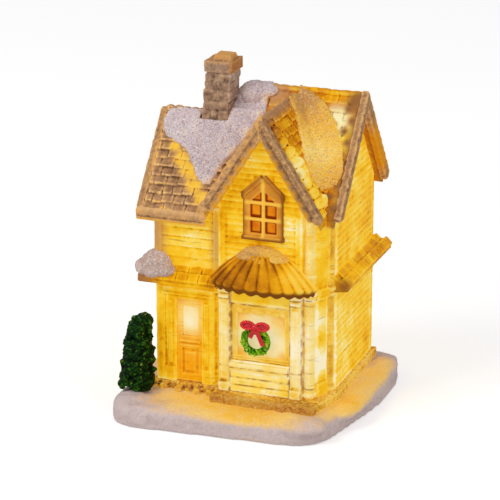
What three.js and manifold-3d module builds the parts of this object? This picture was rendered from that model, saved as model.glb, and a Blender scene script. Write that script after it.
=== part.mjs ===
import * as THREE from 'three';
import { mergeVertices } from 'three/addons/utils/BufferGeometryUtils.js';
import Module from 'manifold-3d';

// A small light-up christmas house: a hollow cast shell on a snowy base,
// lit from inside by a battery light unit that pushes up into the base.
// Millimetres, +Z up, front towards -Y, origin under the middle of the base.

// General
const GAP = 0.3;
const CLOSE_FIT = 0.1;
const GRID = 1e-4;

// Snowy base and stone platform
const BASE_LEFT = -38;
const BASE_RIGHT = 38.2;
const BASE_FRONT = -36.8;
const BASE_BACK = 36.3;
const BASE_HEIGHT = 7;
const BASE_CORNER = 9;
const BASE_EDGE = 2.2;
const FRONT_RIGHT_INSET = 8;
const FRONT_RIGHT_RISE = 3.6;
const RIGHT_BULGE_Y = 10;
const PLATFORM_HEIGHT = 2.8;
const PLATFORM_MARGIN = 1.4;
const KERB_REACH = 5.5;
const FLOOR = BASE_HEIGHT + PLATFORM_HEIGHT;

// Plan of the walls, measured to their outer faces
const WALL = 2.4;
const HOUSE_LEFT = -27;
const HOUSE_RIGHT = 27.5;
const HOUSE_BACK = 30;
const WING_FRONT = -17.5;
const WING_BACK = 19.5;
const BAY_LEFT = -5.8;
const BAY_RIGHT = 20.6;
const BAY_FRONT = -19.5;
const MAIN_LEFT = -5.5;
const CORNER_Y = -10;
const POST_RADIUS = 1.5;
const STOREY_TOP = 44.5;

// Overlapping boards
const BOARD = 3.4;
const BOARD_LIP = 0.45;

// Roofs: ridge place and height, reach of the eaves and their heights
const ROOF_THICK = 1.8;
const COURSE = 3.1;
const BUTT = 0.6;
const MAIN_RIDGE_Y = 10;
const MAIN_RIDGE_Z = 98.9;
const MAIN_EAVE_FRONT = -16.5;
const MAIN_EAVE_FRONT_Z = 67;
const MAIN_EAVE_BACK = 33.2;
const MAIN_EAVE_BACK_Z = 67.4;
const MAIN_ROOF_LEFT = -7.4;
const MAIN_ROOF_RIGHT = 31.5;
const WING_RIDGE_Y = 0.5;
const WING_RIDGE_Z = 91;
const WING_EAVE_FRONT = -20.8;
const WING_EAVE_BACK = 22.6;
const WING_EAVE_Z = 65.4;
const WING_ROOF_LEFT = -32;
const GABLE_X = 8.5;
const GABLE_RIDGE_Z = 97;
const GABLE_HALF = 18.6;
const GABLE_EAVE_Z = 68;
const GABLE_FRONT = -23.5;
const BARGE_DEPTH = 2.2;
const BARGE_DROP = 2.8;
const BARGE_RISE = 0.3;
const RAKE_WIDTH = 2;
const RAKE_CUT = 0.6;
const FASCIA_DEPTH = 1.2;
const FASCIA_HEIGHT = 3.6;

// Little pent roof round the house between the storeys
const SKIRT_TOP = 47.4;
const SKIRT_REACH = 4.6;
const SKIRT_DROP = 4.2;
const SKIRT_THICK = 2.4;

// Shop window, stall board and sill in the bay
const PILASTER = 3.4;
const PILASTER_PROUD = 0.8;
const LINTEL_HEIGHT = 6;
const STALL_HEIGHT = 7.2;
const STALL_PROUD = 1;
const SILL_HEIGHT = 2.4;
const SILL_PROUD = 0.8;
const CASING = 1.8;
const PANE = 1;
const REBATE = 0.8;

// Wreath on the shop window
const WREATH_RADIUS = 3.7;
const WREATH_TUBE = 1.15;
const BOW_WIDTH = 8.4;
const BOW_HEIGHT = 2.6;
const BOW_THICK = 1.1;
const BOW_TAIL = 4;
const BOW_SHIFT = 0.4;
const BOW_RISE = 1.4;
const WREATH_SHIFT = 1.4;
const WREATH_DROP = 2;

// Awning over the shop window
const AWNING_HALF = 16.4;
const AWNING_REACH = 6.6;
const AWNING_RIM_Z = 44.2;
const AWNING_RIM = 2;
const AWNING_RISE = 10.4;
const AWNING_THICK = 1.6;
const AWNING_LIP = 0.9;
const AWNING_CURVE = 1.7;
const AWNING_RIBS = 12;
const AWNING_SNOW = 1.4;
const AWNING_SNOW_HALF = 8.4;
const AWNING_SNOW_REACH = 4.1;

// Pointed window in the gable
const GLASS_HALF = 4.7;
const GLASS_BOTTOM = 61.2;
const GLASS_LIGHT = 5.2;
const GLASS_POINT = 4.4;
const HOOD = 1.6;
const WINDOW_SILL = 0.7;
const MUNTIN = 0.8;
const WINDOW_PROUD = 1.1;

// Door in the wing
const DOOR_LEFT = -21;
const DOOR_WIDTH = 9;
const DOOR_HEIGHT = 27.4;
const DOOR_THICK = 1.4;
const DOOR_SET_BACK = 0.5;
const DOOR_CASING = 2.6;
const CASING_PROUD = 0.7;
const DOOR_GLASS_WIDTH = 5.4;
const DOOR_GLASS_HEIGHT = 10;
const DOOR_GLASS_TOP = 2.4;
const DOOR_PANEL_HEIGHT = 8.4;
const DOOR_PANEL_BOTTOM = 2.4;
const PANEL_SINK = 0.5;

// Chimney
const CHIMNEY_X = -12.6;
const CHIMNEY_Y = 2.6;
const CHIMNEY_WIDTH = 7.6;
const CHIMNEY_DEPTH = 8.6;
const CHIMNEY_FLARE = 1.1;
const CHIMNEY_LEAN = 2.5;
const CHIMNEY_FOOT = 78;
const CHIMNEY_TOP = 105;
const CAP_HEIGHT = 3.4;
const CAP_PROUD = 0.7;
const POT_WIDTH = 6;
const POT_DEPTH = 6.4;
const POT_HEIGHT = 1.7;
const POT_TAPER = 1;

// Snow lying on the roofs
const SNOW = 1.1;
const SNOW_CREST = 1.5;
const DRIFT_SIZE = [4.6, 3.6, 3.8];
const DRIFT_PLACE = [-4.6, 6.6, 97.2];

// Heap of snow on the left corner of the pent roof
const HEAP_SIZE = [5.4, 4.4, 5];
const HEAP_SHIFT = 0.6;

// Bush at the front left corner
const BUSH_X = -32.6;
const BUSH_Y = -22.4;
const BUSH_RADIUS = 4.5;
const BUSH_TIP_RADIUS = 2.8;
const BUSH_HEIGHT = 25.6;
const BUSH_LUMPS = 9;
const BUSH_SPREAD = 1.7;
const BUSH_TURN = 137.5;
const BUSH_LEAN = 2;

// Light unit pushed up into the base
const UNIT_X = 2;
const UNIT_ROOM = 1.1;
const UNIT_RADIUS = 16;
const UNIT_SEAT = 0.4;
const UNIT_FIT = 0.35;
const UNIT_WALL = 1.4;
const UNIT_FLOOR = 2;
const FLANGE_WIDTH = 3;
const LID = 1.4;
const LID_ROOM = 0.5;
const CELL_RADIUS = 5.8;
const CELL_THICK = 5.4;
const CELL_SPACE = 0.3;
const CONTACT = 0.3;
const CONTACT_WIDTH = 2.4;
const BOARD_THICK = 1;
const LED_RADIUS = 2.5;
const LED_LENGTH = 8;
const LED_COLLAR = 0.4;
const RESISTOR_RADIUS = 0.9;
const RESISTOR_LENGTH = 4.2;
const HATCH_RIM = 1.2;
const HATCH_FIT = 0.4;
const HATCH_THICK = 1.6;
const HINGE_RADIUS = 0.9;
const HINGE_PIN = 0.45;
const HINGE_PIN_FIT = 0.2;
const HINGE_PIN_LENGTH = 1.2;
const HINGE_INSET = 3.1;
const SCREW_ANGLE = 30;
const SCREW_INSET = 2;
const SCREW_SHANK = 0.8;
const SCREW_HEAD = 1.5;
const SCREW_HEAD_THICK = 0.7;
const SCREW_LENGTH = 3.2;
const BOSS_WALL = 0.8;
const SCREW_FREE = 0.7;
const SWITCH_INSET = 1.2;
const SWITCH_ROOM = 0.8;
const SWITCH_LENGTH = 6.4;
const SWITCH_WIDTH = 3;
const SWITCH_HEIGHT = 3;
const SWITCH_TRAVEL = 2.4;
const KNOB_LENGTH = 2;
const KNOB_WIDTH = 1.4;
const SLOT_FIT = 0.35;
const SLIDER_PLATE = 0.5;

const wasm = await Module();
wasm.setup();

// Turns a closed geometry into a solid that can be cut and joined. Its corners
// are set on a fine grid, so that faces meant to be level with each other are.
function solidOf(geometry) {
  const places = Float32Array.from(
    geometry.getAttribute('position').array,
    (value) => Math.round(value / GRID) * GRID,
  );
  const bare = new THREE.BufferGeometry();
  bare.setAttribute('position', new THREE.BufferAttribute(places, 3));
  bare.setIndex(geometry.getIndex());
  const merged = mergeVertices(bare, GRID);
  const corners = merged.getIndex().array;
  const kept = [];
  for (let i = 0; i < corners.length; i += 3) {
    const [a, b, c] = [corners[i], corners[i + 1], corners[i + 2]];
    if (a !== b && b !== c && c !== a) kept.push(a, b, c);
  }
  const vertProperties = new Float32Array(merged.getAttribute('position').array);
  const triVerts = new Uint32Array(kept);
  return new wasm.Manifold(new wasm.Mesh({ numProp: 3, vertProperties, triVerts }));
}

// Turns a solid back into a geometry.
function geometryOf(solid) {
  const mesh = solid.getMesh();
  const geometry = new THREE.BufferGeometry();
  geometry.setAttribute('position', new THREE.BufferAttribute(mesh.vertProperties, 3));
  geometry.setIndex(new THREE.BufferAttribute(mesh.triVerts, 1));
  return geometry;
}

// Keeps the largest body of a cut solid and drops its offcuts.
function largest(solid) {
  const bodies = solid.decompose();
  bodies.sort((a, b) => b.volume() - a.volume());
  return bodies[0];
}

function shapeOf(points) {
  return new THREE.Shape(points.map(([x, y]) => new THREE.Vector2(x, y)));
}

function extruded(shape, depth, basis, shift, options = {}) {
  const settings = { depth, bevelEnabled: false, curveSegments: 6, ...options };
  const geometry = new THREE.ExtrudeGeometry(shape, settings);
  const [u, v, w] = basis.map((axis) => new THREE.Vector3(...axis));
  geometry.applyMatrix4(new THREE.Matrix4().makeBasis(u, v, w));
  geometry.translate(...shift);
  return solidOf(geometry);
}

// Plan outline in X and Y, standing from z0 to z1.
function upward(points, z0, z1) {
  return extruded(shapeOf(points), z1 - z0, [[1, 0, 0], [0, 1, 0], [0, 0, 1]], [0, 0, z0]);
}

// Section in Y and Z, running from x0 to x1.
function alongX(points, x0, x1) {
  return extruded(shapeOf(points), x1 - x0, [[0, 1, 0], [0, 0, 1], [1, 0, 0]], [x0, 0, 0]);
}

// Section in X and Z, running from y0 to y1.
function alongY(points, y0, y1) {
  return extruded(shapeOf(points), y1 - y0, [[1, 0, 0], [0, 0, 1], [0, -1, 0]], [0, y1, 0]);
}

function box(x0, x1, y0, y1, z0, z1) {
  const geometry = new THREE.BoxGeometry(x1 - x0, y1 - y0, z1 - z0);
  geometry.translate((x0 + x1) / 2, (y0 + y1) / 2, (z0 + z1) / 2);
  return solidOf(geometry);
}

// Upright cylinder standing on z0.
function pillar(x, y, radius, z0, z1, sides = 16) {
  const geometry = new THREE.CylinderGeometry(radius, radius, z1 - z0, sides);
  geometry.rotateX(Math.PI / 2);
  geometry.translate(x, y, (z0 + z1) / 2);
  return solidOf(geometry);
}

// Outline whose corners are rounded with the given radius.
function roundedShape(corners, radius) {
  const shape = new THREE.Shape();
  const count = corners.length;
  corners.forEach(([x, y], i) => {
    const corner = new THREE.Vector2(x, y);
    const before = new THREE.Vector2(...corners[(i + count - 1) % count]);
    const after = new THREE.Vector2(...corners[(i + 1) % count]);
    const start = before.clone().sub(corner).setLength(radius).add(corner);
    const end = after.clone().sub(corner).setLength(radius).add(corner);
    if (i === 0) shape.moveTo(start.x, start.y);
    else shape.lineTo(start.x, start.y);
    shape.quadraticCurveTo(x, y, end.x, end.y);
  });
  shape.closePath();
  return shape;
}

// Sweeps a section of [out, z] pairs along a plan path. Out is measured to the
// left of the way along the path, and the corners are mitred.
function moulding(path, outline) {
  const clockwise = THREE.ShapeUtils.isClockWise(shapeOf(outline).getPoints());
  const section = clockwise ? outline.slice().reverse() : outline;
  const legs = [];
  for (let i = 1; i < path.length; i += 1) {
    const leg = new THREE.Vector2(path[i][0] - path[i - 1][0], path[i][1] - path[i - 1][1]);
    leg.normalize();
    legs.push(new THREE.Vector2(-leg.y, leg.x));
  }
  const positions = [];
  path.forEach(([x, y], i) => {
    const a = legs[Math.max(i - 1, 0)];
    const b = legs[Math.min(i, legs.length - 1)];
    const mitre = a.clone().add(b).divideScalar(1 + a.dot(b));
    section.forEach(([out, z]) => positions.push(x + mitre.x * out, y + mitre.y * out, z));
  });
  const n = section.length;
  const faces = [];
  for (let ring = 0; ring < path.length - 1; ring += 1) {
    for (let i = 0; i < n; i += 1) {
      const a = ring * n + i;
      const b = ring * n + ((i + 1) % n);
      faces.push(a, b, b + n, a, b + n, a + n);
    }
  }
  const flat = section.map(([out, z]) => new THREE.Vector2(out, z));
  const last = (path.length - 1) * n;
  THREE.ShapeUtils.triangulateShape(flat, []).forEach(([a, b, c]) => {
    faces.push(a, c, b, last + a, last + b, last + c);
  });
  const geometry = new THREE.BufferGeometry();
  geometry.setAttribute('position', new THREE.Float32BufferAttribute(positions, 3));
  geometry.setIndex(faces);
  return solidOf(geometry);
}

const model = new THREE.Group();

function finish(color, roughness = 0.8, metalness = 0) {
  return new THREE.MeshStandardMaterial({ color, roughness, metalness });
}

function piece(name, form, material, parent = model) {
  const geometry = form.isBufferGeometry ? form : geometryOf(form);
  const mesh = new THREE.Mesh(geometry, material);
  mesh.name = name;
  parent.add(mesh);
  return mesh;
}

const SNOW_WHITE = '#d9d4e2';
const GOLD_SNOW = '#c9a25c';
const WALL_YELLOW = '#f2bf4a';
const TRIM_YELLOW = '#d99a35';
const ROOF_TAN = '#a37a4d';
const BARGE_BROWN = '#80654a';
const STONE_BROWN = '#87694a';
const PANE_CREAM = '#ffe9b0';
const UNIT_CREAM = '#e8e4da';
const CONTACT_METAL = '#d8d2c0';

// Roofs
// Each roof is given by its ridge, the reach of its two eaves across the ridge
// and its two slopes.
function roofOf(ridge, top, low, lowZ, high, highZ) {
  return {
    ridge,
    top,
    low,
    high,
    fall: [(top - lowZ) / (ridge - low), (top - highZ) / (high - ridge)],
  };
}

// Height of a roof's plane at a place across the ridge, raised square to the slope.
function roofHeight(roof, place, raise) {
  const [low, high] = roof.fall;
  const front = roof.top - low * (roof.ridge - place) + raise * Math.hypot(1, low);
  const back = roof.top - high * (place - roof.ridge) + raise * Math.hypot(1, high);
  return Math.min(front, back);
}

// The point where the two raised planes meet.
function peak(roof, raise) {
  const [low, high] = roof.fall;
  const lift = raise * (Math.hypot(1, high) - Math.hypot(1, low));
  const place = roof.ridge + lift / (low + high);
  return [place, roofHeight(roof, place, raise)];
}

// Section of everything under a raised roof plane.
function underRoof(roof, raise, low = roof.low, high = roof.high, bottom = 0) {
  return [
    [low, bottom],
    [low, roofHeight(roof, low, raise)],
    peak(roof, raise),
    [high, roofHeight(roof, high, raise)],
    [high, bottom],
  ];
}

// Section of a roof slab with stepped courses of shingles on both slopes.
function shingledSection(roof) {
  const run = (roof.ridge - roof.low) * Math.hypot(1, roof.fall[0]);
  const courses = Math.round(run / COURSE);
  const points = [[roof.low, roofHeight(roof, roof.low, -ROOF_THICK)]];
  for (let i = 0; i < courses; i += 1) {
    const butt = THREE.MathUtils.lerp(roof.low, roof.ridge, i / courses);
    const head = THREE.MathUtils.lerp(roof.low, roof.ridge, (i + 1) / courses);
    points.push([butt, roofHeight(roof, butt, BUTT)], [head, roofHeight(roof, head, 0)]);
  }
  for (let i = courses - 1; i >= 0; i -= 1) {
    const butt = THREE.MathUtils.lerp(roof.high, roof.ridge, i / courses);
    points.push([butt, roofHeight(roof, butt, BUTT)]);
    if (i > 0) points.push([butt, roofHeight(roof, butt, 0)]);
  }
  points.push([roof.high, roofHeight(roof, roof.high, -ROOF_THICK)], peak(roof, -ROOF_THICK));
  return points;
}

const mainRoof = roofOf(
  MAIN_RIDGE_Y, MAIN_RIDGE_Z, MAIN_EAVE_FRONT, MAIN_EAVE_FRONT_Z, MAIN_EAVE_BACK, MAIN_EAVE_BACK_Z,
);
const wingRoof = roofOf(
  WING_RIDGE_Y, WING_RIDGE_Z, WING_EAVE_FRONT, WING_EAVE_Z, WING_EAVE_BACK, WING_EAVE_Z,
);
const gableRoof = roofOf(
  GABLE_X, GABLE_RIDGE_Z, GABLE_X - GABLE_HALF, GABLE_EAVE_Z, GABLE_X + GABLE_HALF, GABLE_EAVE_Z,
);
const WING_ROOF_RIGHT = GABLE_X - GAP;
const GABLE_ROOF_BACK = MAIN_RIDGE_Y - GAP;

function underMain(raise, x0 = MAIN_ROOF_LEFT, x1 = MAIN_ROOF_RIGHT) {
  return alongX(underRoof(mainRoof, raise), x0, x1);
}

function underWing(raise, x1 = WING_ROOF_RIGHT) {
  return alongX(underRoof(wingRoof, raise), WING_ROOF_LEFT, x1);
}

function underGable(raise, low = gableRoof.low, high = gableRoof.high, bottom = 0) {
  const section = underRoof(gableRoof, raise, low, high, bottom);
  return alongY(section, GABLE_FRONT, GABLE_ROOF_BACK);
}

// The gable's roof with what it shelters: broad above the eaves, narrow below.
function gableEnvelope(raise) {
  const eaveUnderside = roofHeight(gableRoof, gableRoof.low, -BARGE_DROP) - GAP;
  const broad = underGable(raise, gableRoof.low - GAP, gableRoof.high + GAP, eaveUnderside);
  const narrow = underGable(-ROOF_THICK, BAY_LEFT - GAP, HOUSE_RIGHT);
  return broad.add(narrow);
}

const onRoof = BUTT + GAP;
const inRoof = -ROOF_THICK - GAP;

function makeMainRoof() {
  const slab = alongX(shingledSection(mainRoof), MAIN_ROOF_LEFT, MAIN_ROOF_RIGHT - RAKE_WIDTH);
  const hollow = underWing(inRoof).add(underGable(inRoof, BAY_LEFT, HOUSE_RIGHT));
  return largest(slab.subtract(hollow));
}

function makeWingRoof() {
  const slab = alongX(shingledSection(wingRoof), WING_ROOF_LEFT + RAKE_WIDTH, WING_ROOF_RIGHT);
  const shell = underMain(onRoof, MAIN_ROOF_LEFT - GAP)
    .subtract(underMain(inRoof, MAIN_ROOF_LEFT - WALL));
  const body = underMain(onRoof, MAIN_LEFT - GAP);
  return largest(slab.subtract(shell).subtract(body).subtract(gableEnvelope(onRoof)));
}

function makeGableRoof() {
  const front = GABLE_FRONT + BARGE_DEPTH;
  const slab = alongY(shingledSection(gableRoof), front, GABLE_ROOF_BACK);
  return largest(slab.subtract(underMain(onRoof)).subtract(underWing(inRoof)));
}

// Board under one slope of the front gable, on the face of its roof.
function makeBarge(side) {
  const end = side > 0 ? gableRoof.high : gableRoof.low;
  const middle = GABLE_X + (side * GAP) / 2;
  const underside = peak(gableRoof, -BARGE_DROP)[1];
  const heel = GABLE_X + (side * (underside - GABLE_EAVE_Z)) / gableRoof.fall[0];
  const section = [
    [end, roofHeight(gableRoof, end, BUTT + BARGE_RISE)],
    [middle, roofHeight(gableRoof, middle, BUTT + BARGE_RISE)],
    [middle, roofHeight(gableRoof, middle, -BARGE_DROP)],
    [heel, GABLE_EAVE_Z],
    [end, GABLE_EAVE_Z],
  ];
  return alongY(section, GABLE_FRONT, GABLE_FRONT + BARGE_DEPTH);
}

// Board that closes the open end of a roof, cut level at its feet.
function makeRake(roof, x0, x1) {
  const foot = roofHeight(roof, roof.low, 0) - RAKE_CUT;
  const outer = alongX(underRoof(roof, BUTT + BARGE_RISE, roof.low, roof.high, foot), x0, x1);
  const inner = alongX(underRoof(roof, -BARGE_DROP, roof.low - 1, roof.high + 1, -1), x0 - 1, x1 + 1);
  return outer.subtract(inner);
}

function makeFascia() {
  const top = roofHeight(wingRoof, wingRoof.low, BUTT);
  const face = WING_EAVE_FRONT - FASCIA_DEPTH;
  const soft = FASCIA_DEPTH / 2;
  const section = [
    [WING_EAVE_FRONT, top],
    [face + soft, top],
    [face, top - soft],
    [face, top - FASCIA_HEIGHT + soft],
    [face + soft, top - FASCIA_HEIGHT],
    [WING_EAVE_FRONT, top - FASCIA_HEIGHT],
  ];
  return alongX(section, WING_ROOF_LEFT, BAY_LEFT - GAP).subtract(gableEnvelope(onRoof));
}

// Walls
// Section of a wall of overlapping boards. Out is +1 or -1, the way it faces.
function boards(face, out, bottom, top) {
  const courses = Math.max(1, Math.round((top - bottom) / BOARD));
  const points = [];
  for (let i = 0; i < courses; i += 1) {
    points.push([face, THREE.MathUtils.lerp(bottom, top, i / courses)]);
    points.push([face - out * BOARD_LIP, THREE.MathUtils.lerp(bottom, top, (i + 1) / courses)]);
  }
  points.push([face - out * WALL, top], [face - out * WALL, bottom]);
  return points;
}

const postA = [BAY_RIGHT + GAP + POST_RADIUS, BAY_FRONT + POST_RADIUS + PILASTER_PROUD];
const postB = [HOUSE_RIGHT - POST_RADIUS, CORNER_Y];
const sideStart = CORNER_Y + POST_RADIUS + GAP;
const wingSideStart = WING_FRONT + WALL + GAP;
const wingEnd = BAY_LEFT - GAP;

function makeWallRight() {
  const wall = alongY(boards(HOUSE_RIGHT, 1, FLOOR, MAIN_RIDGE_Z), sideStart, HOUSE_BACK - WALL - GAP);
  return wall.intersect(underMain(inRoof));
}

function makeWallLeft() {
  const wall = alongY(boards(HOUSE_LEFT, -1, FLOOR, WING_RIDGE_Z), wingSideStart, WING_BACK - WALL - GAP);
  return wall.intersect(underWing(inRoof));
}

function makeWallBackWing() {
  const wall = alongX(boards(WING_BACK, 1, FLOOR, WING_RIDGE_Z), HOUSE_LEFT, MAIN_LEFT - GAP);
  return wall.intersect(underWing(inRoof));
}

function makeWallBackMain() {
  const wall = alongX(boards(HOUSE_BACK, 1, FLOOR, MAIN_RIDGE_Z), MAIN_LEFT, HOUSE_RIGHT);
  return wall.intersect(underMain(inRoof));
}

// Left side of the main house, open to the wing up to the wing's roof.
function makeWallMainLeft() {
  const wall = alongY(boards(MAIN_LEFT, -1, FLOOR, MAIN_RIDGE_Z), WING_RIDGE_Y, HOUSE_BACK - WALL - GAP);
  const room = underRoof(wingRoof, inRoof, WING_EAVE_FRONT, WING_BACK - WALL);
  const opening = alongX(room, MAIN_LEFT - WALL, MAIN_LEFT + WALL * 2);
  return largest(wall.intersect(underMain(inRoof)).subtract(opening));
}

// Narrow slanting wall between the bay and the right hand side.
function makeCantedWall() {
  const run = new THREE.Vector2(postB[0] - postA[0], postB[1] - postA[1]);
  const along = run.clone().normalize();
  const inward = new THREE.Vector2(-along.y, along.x);
  const ends = [POST_RADIUS + GAP, run.length() - POST_RADIUS - GAP];
  const corner = (t, depth) => [
    postA[0] + along.x * t + inward.x * depth,
    postA[1] + along.y * t + inward.y * depth,
  ];
  const half = WALL / 2;
  const plan = [
    corner(ends[0], -half), corner(ends[1], -half), corner(ends[1], half), corner(ends[0], half),
  ];
  const roofs = underMain(inRoof).add(underGable(inRoof, BAY_LEFT, gableRoof.high));
  return largest(upward(plan, FLOOR, MAIN_RIDGE_Z).intersect(roofs));
}

function makePost([x, y]) {
  const roofs = underMain(inRoof).add(underGable(inRoof, BAY_LEFT, gableRoof.high));
  return largest(pillar(x, y, POST_RADIUS, FLOOR, MAIN_RIDGE_Z, 12).intersect(roofs));
}

const doorRight = DOOR_LEFT + DOOR_WIDTH;
const doorTop = FLOOR + DOOR_HEIGHT;

function makeWingLower() {
  const wall = box(HOUSE_LEFT, wingEnd, WING_FRONT, WING_FRONT + WALL, FLOOR, STOREY_TOP);
  return wall.subtract(box(DOOR_LEFT, doorRight, WING_FRONT - 1, WING_FRONT + WALL + 1, FLOOR - 1, doorTop));
}

function makeWingUpper() {
  const wall = alongX(boards(WING_FRONT, -1, STOREY_TOP, WING_EAVE_Z + WALL), HOUSE_LEFT, wingEnd);
  return wall.intersect(underWing(inRoof));
}

// Bay below: two pilasters, a lintel and a low wall round the shop window.
const shopLeft = BAY_LEFT + PILASTER;
const shopRight = BAY_RIGHT - PILASTER;
const shopBottom = FLOOR + STALL_HEIGHT + SILL_HEIGHT;
const shopTop = STOREY_TOP - LINTEL_HEIGHT;

function makePilaster(x0) {
  const face = BAY_FRONT - PILASTER_PROUD;
  const section = [
    [face, FLOOR],
    [face, AWNING_RIM_Z - GAP],
    [BAY_FRONT, AWNING_RIM_Z - GAP],
    [BAY_FRONT, STOREY_TOP],
    [BAY_FRONT + WALL, STOREY_TOP],
    [BAY_FRONT + WALL, FLOOR],
  ];
  return alongX(section, x0, x0 + PILASTER);
}

function makeLintel() {
  return box(shopLeft, shopRight, BAY_FRONT, BAY_FRONT + WALL, shopTop, STOREY_TOP);
}

function makeStallWall() {
  return box(shopLeft, shopRight, BAY_FRONT, BAY_FRONT + WALL, FLOOR, shopBottom);
}

function makeStallBoard() {
  const face = BAY_FRONT - STALL_PROUD;
  const groove = 0.4;
  const points = [[BAY_FRONT, FLOOR]];
  const planks = 3;
  for (let i = 0; i < planks; i += 1) {
    const z0 = FLOOR + (STALL_HEIGHT * i) / planks;
    const z1 = FLOOR + (STALL_HEIGHT * (i + 1)) / planks;
    points.push([face + groove, z0], [face, z0 + groove], [face, z1 - groove], [face + groove, z1]);
  }
  points.push([BAY_FRONT, FLOOR + STALL_HEIGHT]);
  return alongX(points, shopLeft + GAP, shopRight - GAP);
}

function makeSill() {
  const z0 = FLOOR + STALL_HEIGHT;
  return box(
    shopLeft + GAP, shopRight - GAP, BAY_FRONT - STALL_PROUD - SILL_PROUD, BAY_FRONT, z0, z0 + SILL_HEIGHT,
  );
}

// Frame in the shop opening, with a pane behind it.
function makeShopFrame() {
  const y0 = BAY_FRONT + REBATE / 2;
  const outer = box(shopLeft + GAP, shopRight - GAP, y0, y0 + REBATE, shopBottom + GAP, shopTop - GAP);
  const inner = box(
    shopLeft + GAP + CASING, shopRight - GAP - CASING, y0 - 1, y0 + REBATE + 1,
    shopBottom + GAP + CASING, shopTop - GAP - CASING,
  );
  return outer.subtract(inner);
}

const paneFront = BAY_FRONT + REBATE * 1.5;

function makeShopPane() {
  return box(shopLeft + GAP, shopRight - GAP, paneFront, paneFront + PANE, shopBottom + GAP, shopTop - GAP);
}

// Wall of the bay above, up into the gable, with the pointed window's opening.
const glassShoulder = GLASS_BOTTOM + GLASS_LIGHT * 2;
const glassApex = glassShoulder + GLASS_POINT;

function windowOutline(margin, sill = margin) {
  const steep = GLASS_POINT / GLASS_HALF;
  const lift = margin * Math.hypot(1, steep);
  const half = GLASS_HALF + margin;
  return [
    [GABLE_X - half, GLASS_BOTTOM - sill],
    [GABLE_X + half, GLASS_BOTTOM - sill],
    [GABLE_X + half, glassApex + lift - steep * half],
    [GABLE_X, glassApex + lift],
    [GABLE_X - half, glassApex + lift - steep * half],
  ];
}

function makeGableWall() {
  const wall = alongX(boards(BAY_FRONT, -1, STOREY_TOP, GABLE_RIDGE_Z), BAY_LEFT, BAY_RIGHT);
  const opening = alongY(windowOutline(GAP), BAY_FRONT - 1, BAY_FRONT + WALL + 1);
  return wall.intersect(underGable(inRoof)).subtract(opening);
}

const windowFace = BAY_FRONT - WINDOW_PROUD;

// Hooded frame on the wall with one upright and two cross bars in front of the glass.
function makeWindowFrame() {
  const outer = alongY(windowOutline(HOOD, WINDOW_SILL), windowFace, BAY_FRONT);
  const bar = MUNTIN / 2;
  const glass = alongY(windowOutline(-MUNTIN / 2), windowFace - 1, BAY_FRONT + 1);
  let bars = box(GABLE_X - bar, GABLE_X + bar, windowFace - 1, BAY_FRONT + 1, GLASS_BOTTOM, glassApex);
  for (let i = 1; i <= 2; i += 1) {
    const z = GLASS_BOTTOM + GLASS_LIGHT * i - bar;
    bars = bars.add(box(
      GABLE_X - GLASS_HALF, GABLE_X + GLASS_HALF, windowFace - 1, BAY_FRONT + 1, z - bar, z + bar,
    ));
  }
  return outer.subtract(glass.subtract(bars));
}

function makeWindowGlass() {
  return alongY(windowOutline(0), BAY_FRONT + GAP, BAY_FRONT + GAP + PANE);
}

// Door, its casing and its small glass
function makeDoorCasing() {
  const y0 = WING_FRONT - CASING_PROUD;
  const outer = box(
    DOOR_LEFT - DOOR_CASING, doorRight + DOOR_CASING, y0, WING_FRONT, FLOOR, doorTop + DOOR_CASING / 2,
  );
  return outer.subtract(box(DOOR_LEFT, doorRight, y0 - 1, WING_FRONT + 1, FLOOR - 1, doorTop));
}

const doorFace = WING_FRONT + DOOR_SET_BACK;
const doorMiddle = (DOOR_LEFT + doorRight) / 2;
const doorGlassTop = doorTop - GAP - DOOR_GLASS_TOP;

function makeDoorLeaf() {
  const half = DOOR_GLASS_WIDTH / 2;
  const leaf = box(DOOR_LEFT + GAP, doorRight - GAP, doorFace, doorFace + DOOR_THICK, FLOOR, doorTop - GAP);
  const light = box(
    doorMiddle - half, doorMiddle + half, doorFace - 1, doorFace + DOOR_THICK + 1,
    doorGlassTop - DOOR_GLASS_HEIGHT, doorGlassTop,
  );
  const panelBottom = FLOOR + DOOR_PANEL_BOTTOM;
  const panel = box(
    doorMiddle - half, doorMiddle + half, doorFace - 1, doorFace + PANEL_SINK,
    panelBottom, panelBottom + DOOR_PANEL_HEIGHT,
  );
  return leaf.subtract(light).subtract(panel);
}

function makeDoorGlass() {
  const half = DOOR_GLASS_WIDTH / 2 - GAP;
  const y0 = doorFace + PANEL_SINK / 2;
  return box(
    doorMiddle - half, doorMiddle + half, y0, doorFace + DOOR_THICK - GAP,
    doorGlassTop - DOOR_GLASS_HEIGHT + GAP, doorGlassTop - GAP,
  );
}

// Pent roof between the storeys, in two stepped courses
function skirtSection() {
  const outer = SKIRT_TOP - SKIRT_DROP;
  const middle = SKIRT_TOP - SKIRT_DROP / 2;
  return [
    [0, SKIRT_TOP],
    [SKIRT_REACH / 2, middle],
    [SKIRT_REACH / 2, middle + BUTT],
    [SKIRT_REACH, outer + BUTT],
    [SKIRT_REACH, outer + BUTT - SKIRT_THICK / 2],
    [0, SKIRT_TOP - SKIRT_DROP - SKIRT_THICK / 2],
  ];
}

function makeSkirtLeft() {
  const path = [
    [wingEnd, WING_FRONT],
    [HOUSE_LEFT, WING_FRONT],
    [HOUSE_LEFT, WING_BACK],
    [MAIN_LEFT - GAP, WING_BACK],
  ];
  return largest(moulding(path, skirtSection()).subtract(awningEnvelope()));
}

function makeSkirtRight() {
  const path = [
    [MAIN_LEFT, HOUSE_BACK],
    [HOUSE_RIGHT, HOUSE_BACK],
    [HOUSE_RIGHT, CORNER_Y],
  ];
  return moulding(path, skirtSection());
}

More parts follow.
